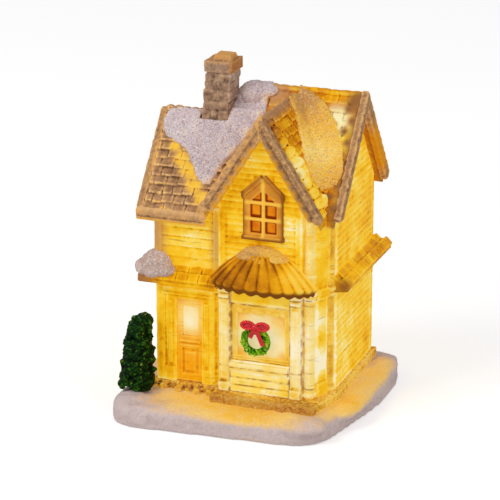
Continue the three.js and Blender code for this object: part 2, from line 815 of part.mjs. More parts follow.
// Wreath and its bow
function bowOutline() {
  const half = BOW_WIDTH / 2;
  const knot = BOW_HEIGHT / 4;
  return [
    [-half, BOW_HEIGHT / 2], [-knot, knot], [knot, knot], [half, BOW_HEIGHT / 2],
    [half, -BOW_HEIGHT / 2], [knot * 1.6, -knot * 0.6], [half * 0.9, -BOW_TAIL], [half * 0.4, -BOW_TAIL],
    [0, -knot], [-knot, -knot], [-half, -BOW_HEIGHT / 2],
  ];
}

// Awning shaped like half a fluted shell, with snow on its top
function awningProfile(raise) {
  const steps = 5;
  const points = [];
  for (let i = 0; i <= steps; i += 1) {
    const t = i / steps;
    const z = AWNING_RISE * (1 - t ** AWNING_CURVE);
    points.push([t, AWNING_RIM_Z + AWNING_RIM + z + raise]);
  }
  return points;
}

function awningDome(points, grow = 0) {
  const lathe = points.map(([r, z]) => new THREE.Vector2(r, z)).reverse();
  const geometry = new THREE.LatheGeometry(lathe, AWNING_RIBS * 2);
  geometry.rotateX(Math.PI / 2);
  geometry.scale(AWNING_HALF + grow, AWNING_REACH + grow, 1);
  geometry.translate(GABLE_X, BAY_FRONT, 0);
  const front = box(
    GABLE_X - AWNING_HALF - 1, GABLE_X + AWNING_HALF + 1, BAY_FRONT - AWNING_REACH - 1, BAY_FRONT + grow,
    0, MAIN_RIDGE_Z,
  );
  return solidOf(geometry).intersect(front);
}

// The space that the awning fills, with a clearance all round.
function awningEnvelope() {
  const floor = AWNING_RIM_Z - GAP;
  return awningDome([...awningProfile(GAP), [1, floor], [0, floor]], GAP);
}

function makeAwning() {
  const top = awningProfile(0);
  const inner = 1 - AWNING_LIP / AWNING_REACH;
  const under = awningProfile(-AWNING_THICK).filter(([r]) => r < inner).reverse();
  return awningDome([...top, [1, AWNING_RIM_Z], [inner, AWNING_RIM_Z], ...under]);
}

function makeAwningSnow() {
  const low = awningProfile(GAP);
  const high = awningProfile(AWNING_SNOW);
  const cap = awningDome([...high, ...low.reverse()]);
  const plan = new THREE.CylinderGeometry(1, 1, MAIN_RIDGE_Z, 20);
  plan.rotateX(Math.PI / 2);
  plan.scale(AWNING_SNOW_HALF, AWNING_SNOW_REACH, 1);
  plan.translate(GABLE_X, BAY_FRONT, MAIN_RIDGE_Z / 2);
  return cap.intersect(solidOf(plan));
}

// Chimney
// Upright block whose middle, width and depth change from foot to top.
function tapered(middles, y, widths, depths, z0, z1) {
  const front = [
    [middles[0] - widths[0] / 2, z0], [middles[0] + widths[0] / 2, z0],
    [middles[1] + widths[1] / 2, z1], [middles[1] - widths[1] / 2, z1],
  ];
  const side = [
    [y - depths[0] / 2, z0], [y + depths[0] / 2, z0], [y + depths[1] / 2, z1], [y - depths[1] / 2, z1],
  ];
  const reach = Math.max(...widths, ...depths);
  const [low, high] = [Math.min(...middles) - reach, Math.max(...middles) + reach];
  return alongY(front, y - reach, y + reach).intersect(alongX(side, low, high));
}

// The stack leans: its foot stands further left than its top.
function chimneyBlock(widths, depths) {
  const middles = [CHIMNEY_X - CHIMNEY_LEAN, CHIMNEY_X];
  return tapered(middles, CHIMNEY_Y, widths, depths, CHIMNEY_FOOT, CHIMNEY_TOP);
}

function makeChimneyStack() {
  const widths = [CHIMNEY_WIDTH + CHIMNEY_FLARE, CHIMNEY_WIDTH];
  const depths = [CHIMNEY_DEPTH + CHIMNEY_FLARE, CHIMNEY_DEPTH];
  const roofs = underWing(onRoof).add(underMain(onRoof, MAIN_ROOF_LEFT - GAP));
  return largest(chimneyBlock(widths, depths).subtract(roofs));
}

function makeChimneyCap() {
  const half = [CHIMNEY_WIDTH / 2 + CAP_PROUD, CHIMNEY_DEPTH / 2 + CAP_PROUD];
  const slab = box(
    CHIMNEY_X - half[0], CHIMNEY_X + half[0], CHIMNEY_Y - half[1], CHIMNEY_Y + half[1],
    CHIMNEY_TOP, CHIMNEY_TOP + CAP_HEIGHT,
  );
  const potFoot = CHIMNEY_TOP + CAP_HEIGHT - GAP;
  const potX = CHIMNEY_X + CAP_PROUD;
  const pot = tapered(
    [potX, potX], CHIMNEY_Y, [POT_WIDTH, POT_WIDTH - POT_TAPER], [POT_DEPTH, POT_DEPTH - POT_TAPER],
    potFoot, CHIMNEY_TOP + CAP_HEIGHT + POT_HEIGHT,
  );
  return slab.add(pot);
}

// Snow on the roofs: a plan outline that follows the slopes under it, with
// any drift heaped on it
function roofSnow(plan, drift = null) {
  const over = (raise) => underMain(raise).add(underWing(raise)).add(underGable(raise));
  const sheet = upward(plan, 0, MAIN_RIDGE_Z + SNOW_CREST);
  const lying = sheet.intersect(over(BUTT + GAP + SNOW));
  const heaped = drift ? lying.add(drift) : lying;
  const width = CHIMNEY_WIDTH + CHIMNEY_FLARE + GAP * 2;
  const depth = CHIMNEY_DEPTH + CHIMNEY_FLARE + GAP * 2;
  const stack = chimneyBlock([width, width], [depth, depth]);
  return largest(heaped.subtract(over(BUTT + GAP)).subtract(stack));
}

// Snow blown up between the chimney and the main ridge
function makeDrift() {
  const geometry = new THREE.SphereGeometry(1, 12, 8);
  geometry.scale(...DRIFT_SIZE);
  geometry.translate(...DRIFT_PLACE);
  return solidOf(geometry);
}

const leftSnowPlan = [
  [-28.8, -1.1], [-29.8, -2.9], [-29.2, -4.8], [-27.9, -6.2], [-23.2, -7.4], [-19.5, -9.2],
  [-15.5, -13.7], [-12.5, -15.6], [-10.2, -15.2], [-8, -11], [-3, -6], [1.5, 1], [0.2, 5.5],
  [0.8, 10.8], [-4.8, 10.8], [-7, 7], [-9, 2], [-18, -0.6], [-25.8, -0.6],
];
const valleySnowPlan = [
  [9.4, 0.4], [10, 8.8], [14.5, 7.6], [19, 5.9], [24, 1.5], [27.4, -3.1], [29, -7.1],
  [28.3, -10.2], [24.7, -11.4], [21.9, -14.6], [17.9, -10.5], [15, -5.7], [11.5, -1],
];

// The wing and its door casing, with a clearance all round.
function wingEnvelope() {
  return box(HOUSE_LEFT - GAP, 0, WING_FRONT - CASING_PROUD - GAP, WING_BACK, 0, WING_EAVE_Z);
}

// Snow heaped on the left front corner of the pent roof
function makeCornerSnow() {
  const geometry = new THREE.SphereGeometry(1, 12, 8);
  geometry.scale(...HEAP_SIZE);
  geometry.translate(HOUSE_LEFT + HEAP_SHIFT, WING_FRONT - HEAP_SHIFT, SKIRT_TOP);
  const edge = SKIRT_TOP - SKIRT_DROP;
  const below = box(HOUSE_LEFT * 2, 0, WING_FRONT * 2, 0, 0, edge);
  const clear = [
    [0, SKIRT_TOP + BUTT + GAP], [SKIRT_REACH + GAP, edge + BUTT + GAP],
    [SKIRT_REACH + GAP, edge - SKIRT_THICK], [0, edge - SKIRT_THICK],
  ];
  const skirt = moulding(
    [[wingEnd, WING_FRONT], [HOUSE_LEFT, WING_FRONT], [HOUSE_LEFT, WING_BACK]],
    clear,
  );
  return largest(solidOf(geometry).subtract(below).subtract(skirt).subtract(wingEnvelope()));
}

// Bush of lumps stacked round a leaning stem, smaller and closer towards its tip
function makeBush() {
  let bush = null;
  for (let i = 0; i < BUSH_LUMPS; i += 1) {
    const t = i / (BUSH_LUMPS - 1);
    const radius = THREE.MathUtils.lerp(BUSH_RADIUS, BUSH_TIP_RADIUS, t);
    const turn = THREE.MathUtils.degToRad(i * BUSH_TURN);
    const swing = (BUSH_SPREAD * radius) / BUSH_RADIUS;
    const rise = THREE.MathUtils.lerp(BUSH_RADIUS - 1, BUSH_HEIGHT - BUSH_TIP_RADIUS, t);
    const geometry = new THREE.SphereGeometry(radius, 8, 6);
    geometry.translate(
      BUSH_X + BUSH_LEAN * t + swing * Math.cos(turn),
      BUSH_Y + swing * Math.sin(turn),
      BASE_HEIGHT + rise,
    );
    const lump = solidOf(geometry);
    bush = bush ? bush.add(lump) : lump;
  }
  const ground = box(BASE_LEFT * 2, 0, BASE_FRONT * 2, 0, -BASE_HEIGHT, BASE_HEIGHT);
  return largest(bush.subtract(ground).subtract(wingEnvelope()).subtract(platformSolid(GAP)));
}

// Base and platform
const unitY = BAY_FRONT + WALL + UNIT_ROOM + UNIT_RADIUS;
const flangeRadius = UNIT_RADIUS + FLANGE_WIDTH;
const baseCorners = [
  [BASE_LEFT, BASE_FRONT],
  [BASE_RIGHT - FRONT_RIGHT_INSET, BASE_FRONT + FRONT_RIGHT_RISE],
  [BASE_RIGHT, RIGHT_BULGE_Y],
  [BASE_RIGHT - 1, BASE_BACK],
  [BASE_LEFT + 1, BASE_BACK],
];

function makeBase() {
  const inset = baseCorners.map(([x, y]) => [x - Math.sign(x) * BASE_EDGE, y - Math.sign(y) * BASE_EDGE]);
  const options = {
    bevelEnabled: true,
    bevelThickness: BASE_EDGE,
    bevelSize: BASE_EDGE,
    bevelSegments: 2,
    curveSegments: 4,
  };
  const top = extruded(
    roundedShape(inset, BASE_CORNER), BASE_HEIGHT, [[1, 0, 0], [0, 1, 0], [0, 0, 1]],
    [0, 0, -BASE_EDGE], options,
  );
  const layer = box(BASE_LEFT * 2, BASE_RIGHT * 2, BASE_FRONT * 2, BASE_BACK * 2, 0, BASE_HEIGHT);
  const slab = top.intersect(layer);
  const hole = pillar(UNIT_X, unitY, UNIT_RADIUS + UNIT_FIT, -1, BASE_HEIGHT + 1, 32);
  const seat = pillar(UNIT_X, unitY, flangeRadius + UNIT_FIT, -1, UNIT_SEAT + UNIT_FLOOR + UNIT_FIT, 32);
  return slab.subtract(hole).subtract(seat);
}

// Plan of the stone platform: the house with a kerb along the bay.
function platformSolid(grow) {
  const m = PLATFORM_MARGIN + grow;
  const plan = [
    [HOUSE_LEFT - m, WING_FRONT - m],
    [BAY_LEFT - m, WING_FRONT - m],
    [BAY_LEFT - m, BAY_FRONT - KERB_REACH - grow],
    [BAY_RIGHT + KERB_REACH + grow, BAY_FRONT - KERB_REACH - grow],
    [HOUSE_RIGHT + m + 1, CORNER_Y],
    [HOUSE_RIGHT + m, HOUSE_BACK + m],
    [MAIN_LEFT - m, HOUSE_BACK + m],
    [MAIN_LEFT - m, WING_BACK + m],
    [HOUSE_LEFT - m, WING_BACK + m],
  ];
  return upward(plan, BASE_HEIGHT, FLOOR);
}

function makePlatform() {
  const hole = pillar(UNIT_X, unitY, UNIT_RADIUS + UNIT_FIT, 0, FLOOR + 1, 32);
  return platformSolid(0).subtract(hole);
}

// Light unit, modelled about its own axis with the underside of its flange at z = 0
const cellCentre = (2 * CELL_RADIUS + CELL_SPACE) / Math.sqrt(3);
const cellFloor = HATCH_THICK + CONTACT + CELL_SPACE * 2;
const cellRoof = cellFloor + CELL_THICK;
const boardZ = cellRoof + GAP + CONTACT + CLOSE_FIT;
const boardTop = boardZ + BOARD_THICK;
const unitHeight = boardTop + CLOSE_FIT + RESISTOR_RADIUS * 2 + LID_ROOM;
const innerRadius = UNIT_RADIUS - UNIT_WALL;
const switchY = -(innerRadius - SWITCH_INSET - SWITCH_WIDTH / 2);
const hatchRadius = innerRadius - HATCH_RIM;
const hatchEdge = switchY + SWITCH_WIDTH / 2 + SWITCH_ROOM;
const hingeHalf = hatchRadius - HINGE_INSET;
const screwReach = hatchRadius - SCREW_INSET;
const screwTurn = THREE.MathUtils.degToRad(SCREW_ANGLE);
const screwX = screwReach * Math.cos(screwTurn);
const screwY = screwReach * Math.sin(screwTurn);
const hingeY = hatchEdge + HINGE_RADIUS;
const hingeZ = HINGE_RADIUS;
const hingeEnd = hingeHalf + GAP;
const screwHole = SCREW_SHANK + SCREW_FREE;
const slotReach = SWITCH_TRAVEL / 2;

// Disc with one straight edge, the plan of the battery door.
function hatchPlan(grow) {
  const radius = hatchRadius + grow;
  const edge = hatchEdge - grow;
  const start = Math.asin(edge / radius);
  const shape = new THREE.Shape();
  shape.absarc(0, 0, radius, start, Math.PI - start, false);
  shape.closePath();
  return shape;
}

function hatchSolid(grow, z0, z1) {
  const basis = [[1, 0, 0], [0, 1, 0], [0, 0, 1]];
  return extruded(hatchPlan(grow), z1 - z0, basis, [0, 0, z0], { curveSegments: 20 });
}

// Rod along X through the hinge of the battery door.
function hingeRod(radius, half, sides = 12) {
  const geometry = new THREE.CylinderGeometry(radius, radius, half * 2, sides);
  geometry.rotateZ(Math.PI / 2);
  geometry.translate(0, hingeY, hingeZ);
  return solidOf(geometry);
}

function makeCup() {
  const bossTop = boardZ - GAP;
  const bossFoot = HATCH_THICK + GAP;
  const wall = pillar(0, 0, UNIT_RADIUS, 0, unitHeight, 32);
  const flange = pillar(0, 0, flangeRadius, 0, UNIT_FLOOR, 32);
  const inside = pillar(0, 0, innerRadius, UNIT_FLOOR, unitHeight + 1, 32);
  const boss = pillar(screwX, screwY, screwHole + BOSS_WALL, bossFoot, bossTop, 16);
  const web = new THREE.BoxGeometry(UNIT_RADIUS - screwReach, BOSS_WALL * 2, bossTop - bossFoot);
  web.translate((UNIT_RADIUS + screwReach - UNIT_WALL) / 2, 0, (bossTop + bossFoot) / 2);
  web.rotateZ(screwTurn);
  const hollow = pillar(screwX, screwY, screwHole, -1, HATCH_THICK + SCREW_LENGTH + 1, 16);
  const slotHalf = KNOB_LENGTH / 2 + slotReach + SLOT_FIT;
  const slotSide = KNOB_WIDTH / 2 + SLOT_FIT;
  const slot = box(-slotHalf, slotHalf, switchY - slotSide, switchY + slotSide, -1, UNIT_FLOOR + 1);
  const hingeRoom = box(
    -hingeEnd, hingeEnd, hatchEdge - GAP, hingeY + HINGE_RADIUS + GAP, -1, UNIT_FLOOR + 1,
  );
  const pinHoles = hingeRod(HINGE_PIN + HINGE_PIN_FIT, hingeEnd + HINGE_PIN_LENGTH + GAP);
  return wall.add(flange)
    .subtract(inside)
    .subtract(hatchSolid(HATCH_FIT, -1, UNIT_FLOOR + 1))
    .subtract(hingeRoom)
    .subtract(pinHoles)
    .subtract(slot)
    .add(boss.add(solidOf(web)))
    .subtract(hollow);
}

function makeLid() {
  const disc = pillar(0, 0, UNIT_RADIUS, unitHeight, unitHeight + LID, 32);
  return disc.subtract(pillar(0, 0, LED_RADIUS + GAP, unitHeight - 1, unitHeight + LID + 1, 16));
}

// Round-nosed lamp standing on the circuit board
function makeLed() {
  const foot = boardTop;
  const dome = foot + LED_LENGTH - LED_RADIUS;
  const collar = LED_RADIUS + LED_COLLAR;
  const profile = [[0, foot], [collar, foot], [collar, foot + 1], [LED_RADIUS, foot + 1]];
  const steps = 4;
  for (let i = 0; i <= steps; i += 1) {
    const angle = (Math.PI / 2) * (i / steps);
    const radius = i === steps ? 0 : LED_RADIUS * Math.cos(angle);
    profile.push([radius, dome + LED_RADIUS * Math.sin(angle)]);
  }
  const geometry = new THREE.LatheGeometry(profile.map(([r, z]) => new THREE.Vector2(r, z)), 16);
  geometry.rotateX(Math.PI / 2);
  return solidOf(geometry);
}

// Battery door: a D-shaped plate whose narrower neck ends in a rolled hinge, with
// a sunk hole for its screw
function makeHatch() {
  const neckEnd = hingeY + HINGE_RADIUS + GAP * 2;
  const front = box(-UNIT_RADIUS, UNIT_RADIUS, neckEnd, UNIT_RADIUS, 0, HATCH_THICK);
  const plate = hatchSolid(0, 0, HATCH_THICK).intersect(front);
  const neck = box(-hingeHalf, hingeHalf, hingeY, neckEnd, 0, HATCH_THICK);
  const barrel = hingeRod(HINGE_RADIUS, hingeHalf);
  const pins = hingeRod(HINGE_PIN, hingeEnd + HINGE_PIN_LENGTH);
  const sink = pillar(screwX, screwY, SCREW_HEAD + GAP, -1, SCREW_HEAD_THICK + GAP, 16);
  const hole = pillar(screwX, screwY, SCREW_SHANK + SLOT_FIT, -1, HATCH_THICK + 1, 12);
  return plate.add(neck).add(barrel).add(pins).subtract(sink).subtract(hole);
}

// Small slotted screw, about its own axis
function makeScrew() {
  const head = pillar(0, 0, SCREW_HEAD, 0, SCREW_HEAD_THICK, 16);
  const shank = pillar(0, 0, SCREW_SHANK, SCREW_HEAD_THICK / 2, SCREW_HEAD_THICK + SCREW_LENGTH, 12);
  const depth = SCREW_HEAD_THICK / 2;
  const cut = box(-SCREW_HEAD - 1, SCREW_HEAD + 1, -SCREW_SHANK / 4, SCREW_SHANK / 4, -1, depth);
  return head.add(shank).subtract(cut);
}

// Knob that reaches down through the slot, under a plate that keeps it in
function makeSlider() {
  const plate = UNIT_FLOOR + CLOSE_FIT;
  const half = KNOB_LENGTH / 2 + slotReach;
  const knob = box(
    -KNOB_LENGTH / 2, KNOB_LENGTH / 2, -KNOB_WIDTH / 2, KNOB_WIDTH / 2, CLOSE_FIT, plate + SLIDER_PLATE,
  );
  const wide = box(-half, half, -SWITCH_WIDTH / 2 + GAP, SWITCH_WIDTH / 2 - GAP, plate, plate + SLIDER_PLATE);
  return knob.add(wide);
}

piece('snow_base', makeBase(), finish(SNOW_WHITE, 0.9));
piece('stone_platform', makePlatform(), finish(STONE_BROWN, 0.9));
piece('wall_right', makeWallRight(), finish(WALL_YELLOW));
piece('wall_left', makeWallLeft(), finish(WALL_YELLOW));
piece('wall_back_wing', makeWallBackWing(), finish(WALL_YELLOW));
piece('wall_back_main', makeWallBackMain(), finish(WALL_YELLOW));
piece('wall_main_left', makeWallMainLeft(), finish(WALL_YELLOW));
piece('wall_canted', makeCantedWall(), finish(WALL_YELLOW));
piece('wall_wing_lower', makeWingLower(), finish(WALL_YELLOW));
piece('wall_wing_upper', makeWingUpper(), finish(WALL_YELLOW));
piece('shop_lintel', makeLintel(), finish(WALL_YELLOW));
piece('stall_wall', makeStallWall(), finish(WALL_YELLOW));
piece('wall_gable', makeGableWall(), finish(WALL_YELLOW));
piece('post_bay', makePost(postA), finish(TRIM_YELLOW));
piece('post_corner', makePost(postB), finish(TRIM_YELLOW));
piece('pilaster_left', makePilaster(BAY_LEFT), finish(TRIM_YELLOW));
piece('pilaster_right', makePilaster(BAY_RIGHT - PILASTER), finish(TRIM_YELLOW));
piece('stall_board', makeStallBoard(), finish(WALL_YELLOW));
piece('shop_sill', makeSill(), finish(TRIM_YELLOW));
piece('shop_frame', makeShopFrame(), finish(TRIM_YELLOW));
piece('shop_pane', makeShopPane(), finish(PANE_CREAM, 0.4));
piece('window_frame', makeWindowFrame(), finish(BARGE_BROWN));
piece('window_glass', makeWindowGlass(), finish('#e08325', 0.35));
piece('door_casing', makeDoorCasing(), finish(TRIM_YELLOW));
piece('door_leaf', makeDoorLeaf(), finish(WALL_YELLOW));
piece('door_glass', makeDoorGlass(), finish(PANE_CREAM, 0.4));
piece('skirt_roof_left', makeSkirtLeft(), finish(ROOF_TAN));
piece('skirt_roof_right', makeSkirtRight(), finish(ROOF_TAN));
piece('main_roof', makeMainRoof(), finish(ROOF_TAN));
piece('wing_roof', makeWingRoof(), finish(ROOF_TAN));
piece('gable_roof', makeGableRoof(), finish(ROOF_TAN));
piece('barge_left', makeBarge(-1), finish(BARGE_BROWN));
piece('barge_right', makeBarge(1), finish(BARGE_BROWN));
piece('rake_right', makeRake(mainRoof, MAIN_ROOF_RIGHT - RAKE_WIDTH, MAIN_ROOF_RIGHT), finish(BARGE_BROWN));
piece('rake_left', makeRake(wingRoof, WING_ROOF_LEFT, WING_ROOF_LEFT + RAKE_WIDTH), finish(BARGE_BROWN));
piece('wing_fascia', makeFascia(), finish(ROOF_TAN));
piece('awning', makeAwning(), finish(TRIM_YELLOW));
piece('awning_snow', makeAwningSnow(), finish(GOLD_SNOW));
piece('chimney_stack', makeChimneyStack(), finish(STONE_BROWN));
piece('chimney_cap', makeChimneyCap(), finish(STONE_BROWN));
piece('roof_snow', roofSnow(leftSnowPlan, makeDrift()), finish(SNOW_WHITE));
piece('valley_snow', roofSnow(valleySnowPlan), finish(GOLD_SNOW));
piece('skirt_snow', makeCornerSnow(), finish(SNOW_WHITE));
piece('bush', makeBush(), finish('#1f4a26'));

// Wreath of foliage with a bow, hung on the shop window
const wreath = new THREE.Group();
wreath.position.set(
  (shopLeft + shopRight) / 2 - WREATH_SHIFT, paneFront - GAP, (shopBottom + shopTop) / 2 - WREATH_DROP,
);
model.add(wreath);
const ring = new THREE.TorusGeometry(WREATH_RADIUS, WREATH_TUBE, 6, 16);
ring.rotateX(Math.PI / 2);
const ringMesh = piece('wreath', solidOf(ring), finish('#4f8f2c'), wreath);
ringMesh.position.y = -WREATH_TUBE;
const bow = alongY(bowOutline(), -BOW_THICK, 0);
const bowMesh = piece('wreath_bow', bow, finish('#c2202c', 0.45), wreath);
bowMesh.position.set(BOW_SHIFT, -WREATH_TUBE * 2 - GAP, WREATH_RADIUS + BOW_RISE);

// Light unit: everything in it hangs on the group that slides in the base.
const unit = new THREE.Group();
unit.position.set(UNIT_X, unitY, UNIT_SEAT);
model.add(unit);
piece('housing_cup', makeCup(), finish(UNIT_CREAM, 0.5), unit);
piece('housing_lid', makeLid(), finish(UNIT_CREAM, 0.5), unit);
const board = pillar(0, 0, innerRadius - GAP, boardZ, boardTop, 24);
piece('circuit_board', board, finish('#2f6b3a', 0.6), unit);
piece('led', makeLed(), finish('#fff2c4', 0.2), unit);
const resistor = new THREE.CylinderGeometry(RESISTOR_RADIUS, RESISTOR_RADIUS, RESISTOR_LENGTH, 12);
const resistorMesh = piece('resistor', resistor, finish('#c9b48a', 0.5), unit);
resistorMesh.position.set(innerRadius / 2, 0, boardTop + RESISTOR_RADIUS + CLOSE_FIT);
for (let i = 0; i < 3; i += 1) {
  const angle = Math.PI / 2 + (i * Math.PI * 2) / 3;
  const cell = new THREE.CylinderGeometry(CELL_RADIUS, CELL_RADIUS, CELL_THICK, 24);
  cell.rotateX(Math.PI / 2);
  const mesh = piece(`button_cell_${i + 1}`, cell, finish('#c9ccd0', 0.3, 1), unit);
  mesh.position.set(cellCentre * Math.cos(angle), cellCentre * Math.sin(angle), cellFloor + CELL_THICK / 2);
}
const upperContact = pillar(0, 0, cellCentre, cellRoof + GAP, cellRoof + GAP + CONTACT, 16);
piece('contact_upper', upperContact, finish(CONTACT_METAL, 0.3, 1), unit);
const switchFoot = UNIT_FLOOR + CLOSE_FIT * 2 + SLIDER_PLATE;
const switchCase = box(
  -SWITCH_LENGTH / 2, SWITCH_LENGTH / 2, switchY - SWITCH_WIDTH / 2, switchY + SWITCH_WIDTH / 2,
  switchFoot, switchFoot + SWITCH_HEIGHT,
);
piece('switch_case', switchCase, finish('#3a3c40', 0.5), unit);
const slider = piece('switch_slider', makeSlider(), finish('#1d1e20', 0.5), unit);
slider.position.set(-slotReach, switchY, 0);
piece('battery_door', makeHatch(), finish(UNIT_CREAM, 0.5), unit);
const strip = box(-cellCentre, cellCentre, -CONTACT_WIDTH / 2, CONTACT_WIDTH / 2, 0, CONTACT);
const stripMesh = piece('contact_lower', strip, finish(CONTACT_METAL, 0.3, 1), unit);
stripMesh.position.set(0, -cellCentre / 2, HATCH_THICK);
const screw = piece('door_screw', makeScrew(), finish('#b9bcc0', 0.3, 1), unit);
screw.position.set(screwX, screwY, CLOSE_FIT);

export default model;
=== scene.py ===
import math
import random

import bpy
import numpy as np
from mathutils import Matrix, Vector


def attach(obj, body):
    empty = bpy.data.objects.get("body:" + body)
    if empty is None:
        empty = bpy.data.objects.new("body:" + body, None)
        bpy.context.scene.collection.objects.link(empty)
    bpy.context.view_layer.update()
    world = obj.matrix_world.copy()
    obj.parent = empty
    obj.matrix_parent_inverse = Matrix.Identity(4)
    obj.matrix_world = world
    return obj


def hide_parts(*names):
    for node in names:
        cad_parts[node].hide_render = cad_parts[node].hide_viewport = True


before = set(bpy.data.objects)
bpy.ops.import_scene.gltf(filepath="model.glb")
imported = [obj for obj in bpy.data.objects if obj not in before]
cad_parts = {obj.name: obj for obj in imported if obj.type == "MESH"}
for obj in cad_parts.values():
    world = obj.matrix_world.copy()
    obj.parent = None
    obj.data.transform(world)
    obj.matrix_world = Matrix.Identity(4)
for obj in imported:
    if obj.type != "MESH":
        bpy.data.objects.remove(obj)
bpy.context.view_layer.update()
bpy.ops.object.select_all(action="DESELECT")


# Snowy base: a soft rounded slab of cast resin that carries the whole house.
# It is painted lavender white and glittered, and painted light from the lit house warms its top.
# The light unit pushes up into the round hole underneath, which stays smooth.
MM = 0.001
BASE_TOP = 7
FLAT_BELOW = 1.2
UNIT_X, UNIT_Y, UNIT_CLEAR = 2, 0, 20.5


def chosen(*pieces):
    bpy.ops.object.select_all(action="DESELECT")
    for piece in pieces:
        piece.select_set(True)
    bpy.context.view_layer.objects.active = pieces[0]


def applied(piece, modifier):
    chosen(piece)
    bpy.ops.object.modifier_apply(modifier=modifier.name)


def core(node):
    """The solid heart of a piece: a merged copy of its node's mesh."""
    piece = bpy.data.objects.new(node + "_core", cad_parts[node].data.copy())
    bpy.context.scene.collection.objects.link(piece)
    piece.data.materials.clear()
    chosen(piece)
    bpy.ops.object.mode_set(mode="EDIT")
    bpy.ops.mesh.select_all(action="SELECT")
    bpy.ops.mesh.remove_doubles(threshold=1e-6)
    bpy.ops.object.mode_set(mode="OBJECT")
    return piece


def placed(centre, size, turn):
    piece = bpy.context.object
    piece.location = [value * MM for value in centre]
    piece.scale = [value * MM for value in size]
    piece.rotation_euler = turn
    return piece


def block(centre, size, turn=(0, 0, 0)):
    """A loose block in millimetres, turned about its own middle."""
    bpy.ops.mesh.primitive_cube_add(size=1)
    return placed(centre, size, turn)


def lump(centre, size, turn=(0, 0, 0)):
    """A loose round lump in millimetres, across its three widths."""
    bpy.ops.mesh.primitive_ico_sphere_add(radius=0.5, subdivisions=3 if max(size) > 3 else 2)
    return placed(centre, size, turn)


def cast(name, parts, grid, soften=2, swell=0.0):
    """Fuses loose parts into one casting with soft edges, grown a little if asked."""
    chosen(*parts)
    bpy.ops.object.join()
    piece = bpy.context.object
    piece.name = name
    piece.data.name = name
    bpy.ops.object.transform_apply()
    fuse = piece.modifiers.new("fuse", "REMESH")
    fuse.mode = "VOXEL"
    fuse.voxel_size = grid * MM
    applied(piece, fuse)
    if soften:
        soft = piece.modifiers.new("soft", "SMOOTH")
        soft.iterations = soften
        applied(piece, soft)
    if swell:
        grow = piece.modifiers.new("grow", "DISPLACE")
        grow.mid_level = 0
        grow.strength = swell * MM
        applied(piece, grow)
    bpy.ops.object.shade_smooth()
    return piece


def worked(piece, depth, size, where=None):
    """Dents and lumps of hand-worked clay, of that depth and size in millimetres."""
    dents = bpy.data.textures.new(piece.name + "_dents", "CLOUDS")
    dents.noise_scale = size * MM
    dents.noise_depth = 2
    push = piece.modifiers.new("dents", "DISPLACE")
    push.texture = dents
    push.strength = depth * MM
    if where:
        group = piece.vertex_groups.new(name="worked")
        inside = [v.index for v in piece.data.vertices if where(v.co / MM)]
        group.add(inside, 1.0, "REPLACE")
        push.vertex_group = group.name
    applied(piece, push)
    piece.vertex_groups.clear()
    return piece


FULL_HOLLOW = 0.3


def hollows_measured(piece):
    """Marks how far each place lies in a hollow, above 0, or on an edge, below 0. The mark drives painted
    shade in hollows, painted highlights on edges and brown in joints.
    """
    mesh = piece.data
    places = np.empty(len(mesh.vertices) * 3)
    normals = np.empty_like(places)
    mesh.vertices.foreach_get("co", places)
    mesh.vertices.foreach_get("normal", normals)
    depth = np.zeros(len(mesh.vertices))
    for passes, share in ((3, 2.5), (20, 1.0)):
        rubbed_and_painted_shade = bpy.data.objects.new("rubbed_and_painted_shade", mesh.copy())
        bpy.context.scene.collection.objects.link(rubbed_and_painted_shade)
        rub = rubbed_and_painted_shade.modifiers.new("rub", "SMOOTH")
        rub.iterations = passes
        applied(rubbed_and_painted_shade, rub)
        after = np.empty_like(places)
        rubbed_and_painted_shade.data.vertices.foreach_get("co", after)
        depth += share * ((after - places) * normals).reshape(-1, 3).sum(axis=1)
        bpy.data.objects.remove(rubbed_and_painted_shade)
    mark = mesh.attributes.new("hollow", "FLOAT", "POINT")
    mark.data.foreach_set("value", depth / (FULL_HOLLOW * MM))


def finished(piece, material, slot, *nodes, body="root"):
    hollows_measured(piece)
    piece.data.materials.clear()
    piece.data.materials.append(material)
    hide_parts(*nodes)
    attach(piece, body)


def casting(name, node, extras, fuse, dents, material, slot, where=None):
    """One whole piece: its node's core with loose parts cast on, dented and painted. Fuse
    is its grid, its softening and its swelling, and dents are depths and sizes."""
    piece = cast(name, [core(node), *extras], *fuse)
    for depth, size in dents:
        worked(piece, depth, size, where)
    finished(piece, material, slot, node)


def shade(red, green, blue):
    """A paint shade in screen values of 0 to 255."""
    screen = [value / 255 for value in (red, green, blue)]
    linear = [v / 12.92 if v <= 0.04045 else ((v + 0.055) / 1.055) ** 2.4 for v in screen]
    return (*linear, 1)


def wired(tree, node, inputs):
    """Sets each input of a node, or joins it to the output that it gets its value from."""
    for key, value in inputs.items():
        if isinstance(value, bpy.types.NodeSocket):
            tree.links.new(value, node.inputs[key])
        else:
            node.inputs[key].default_value = value
    return node


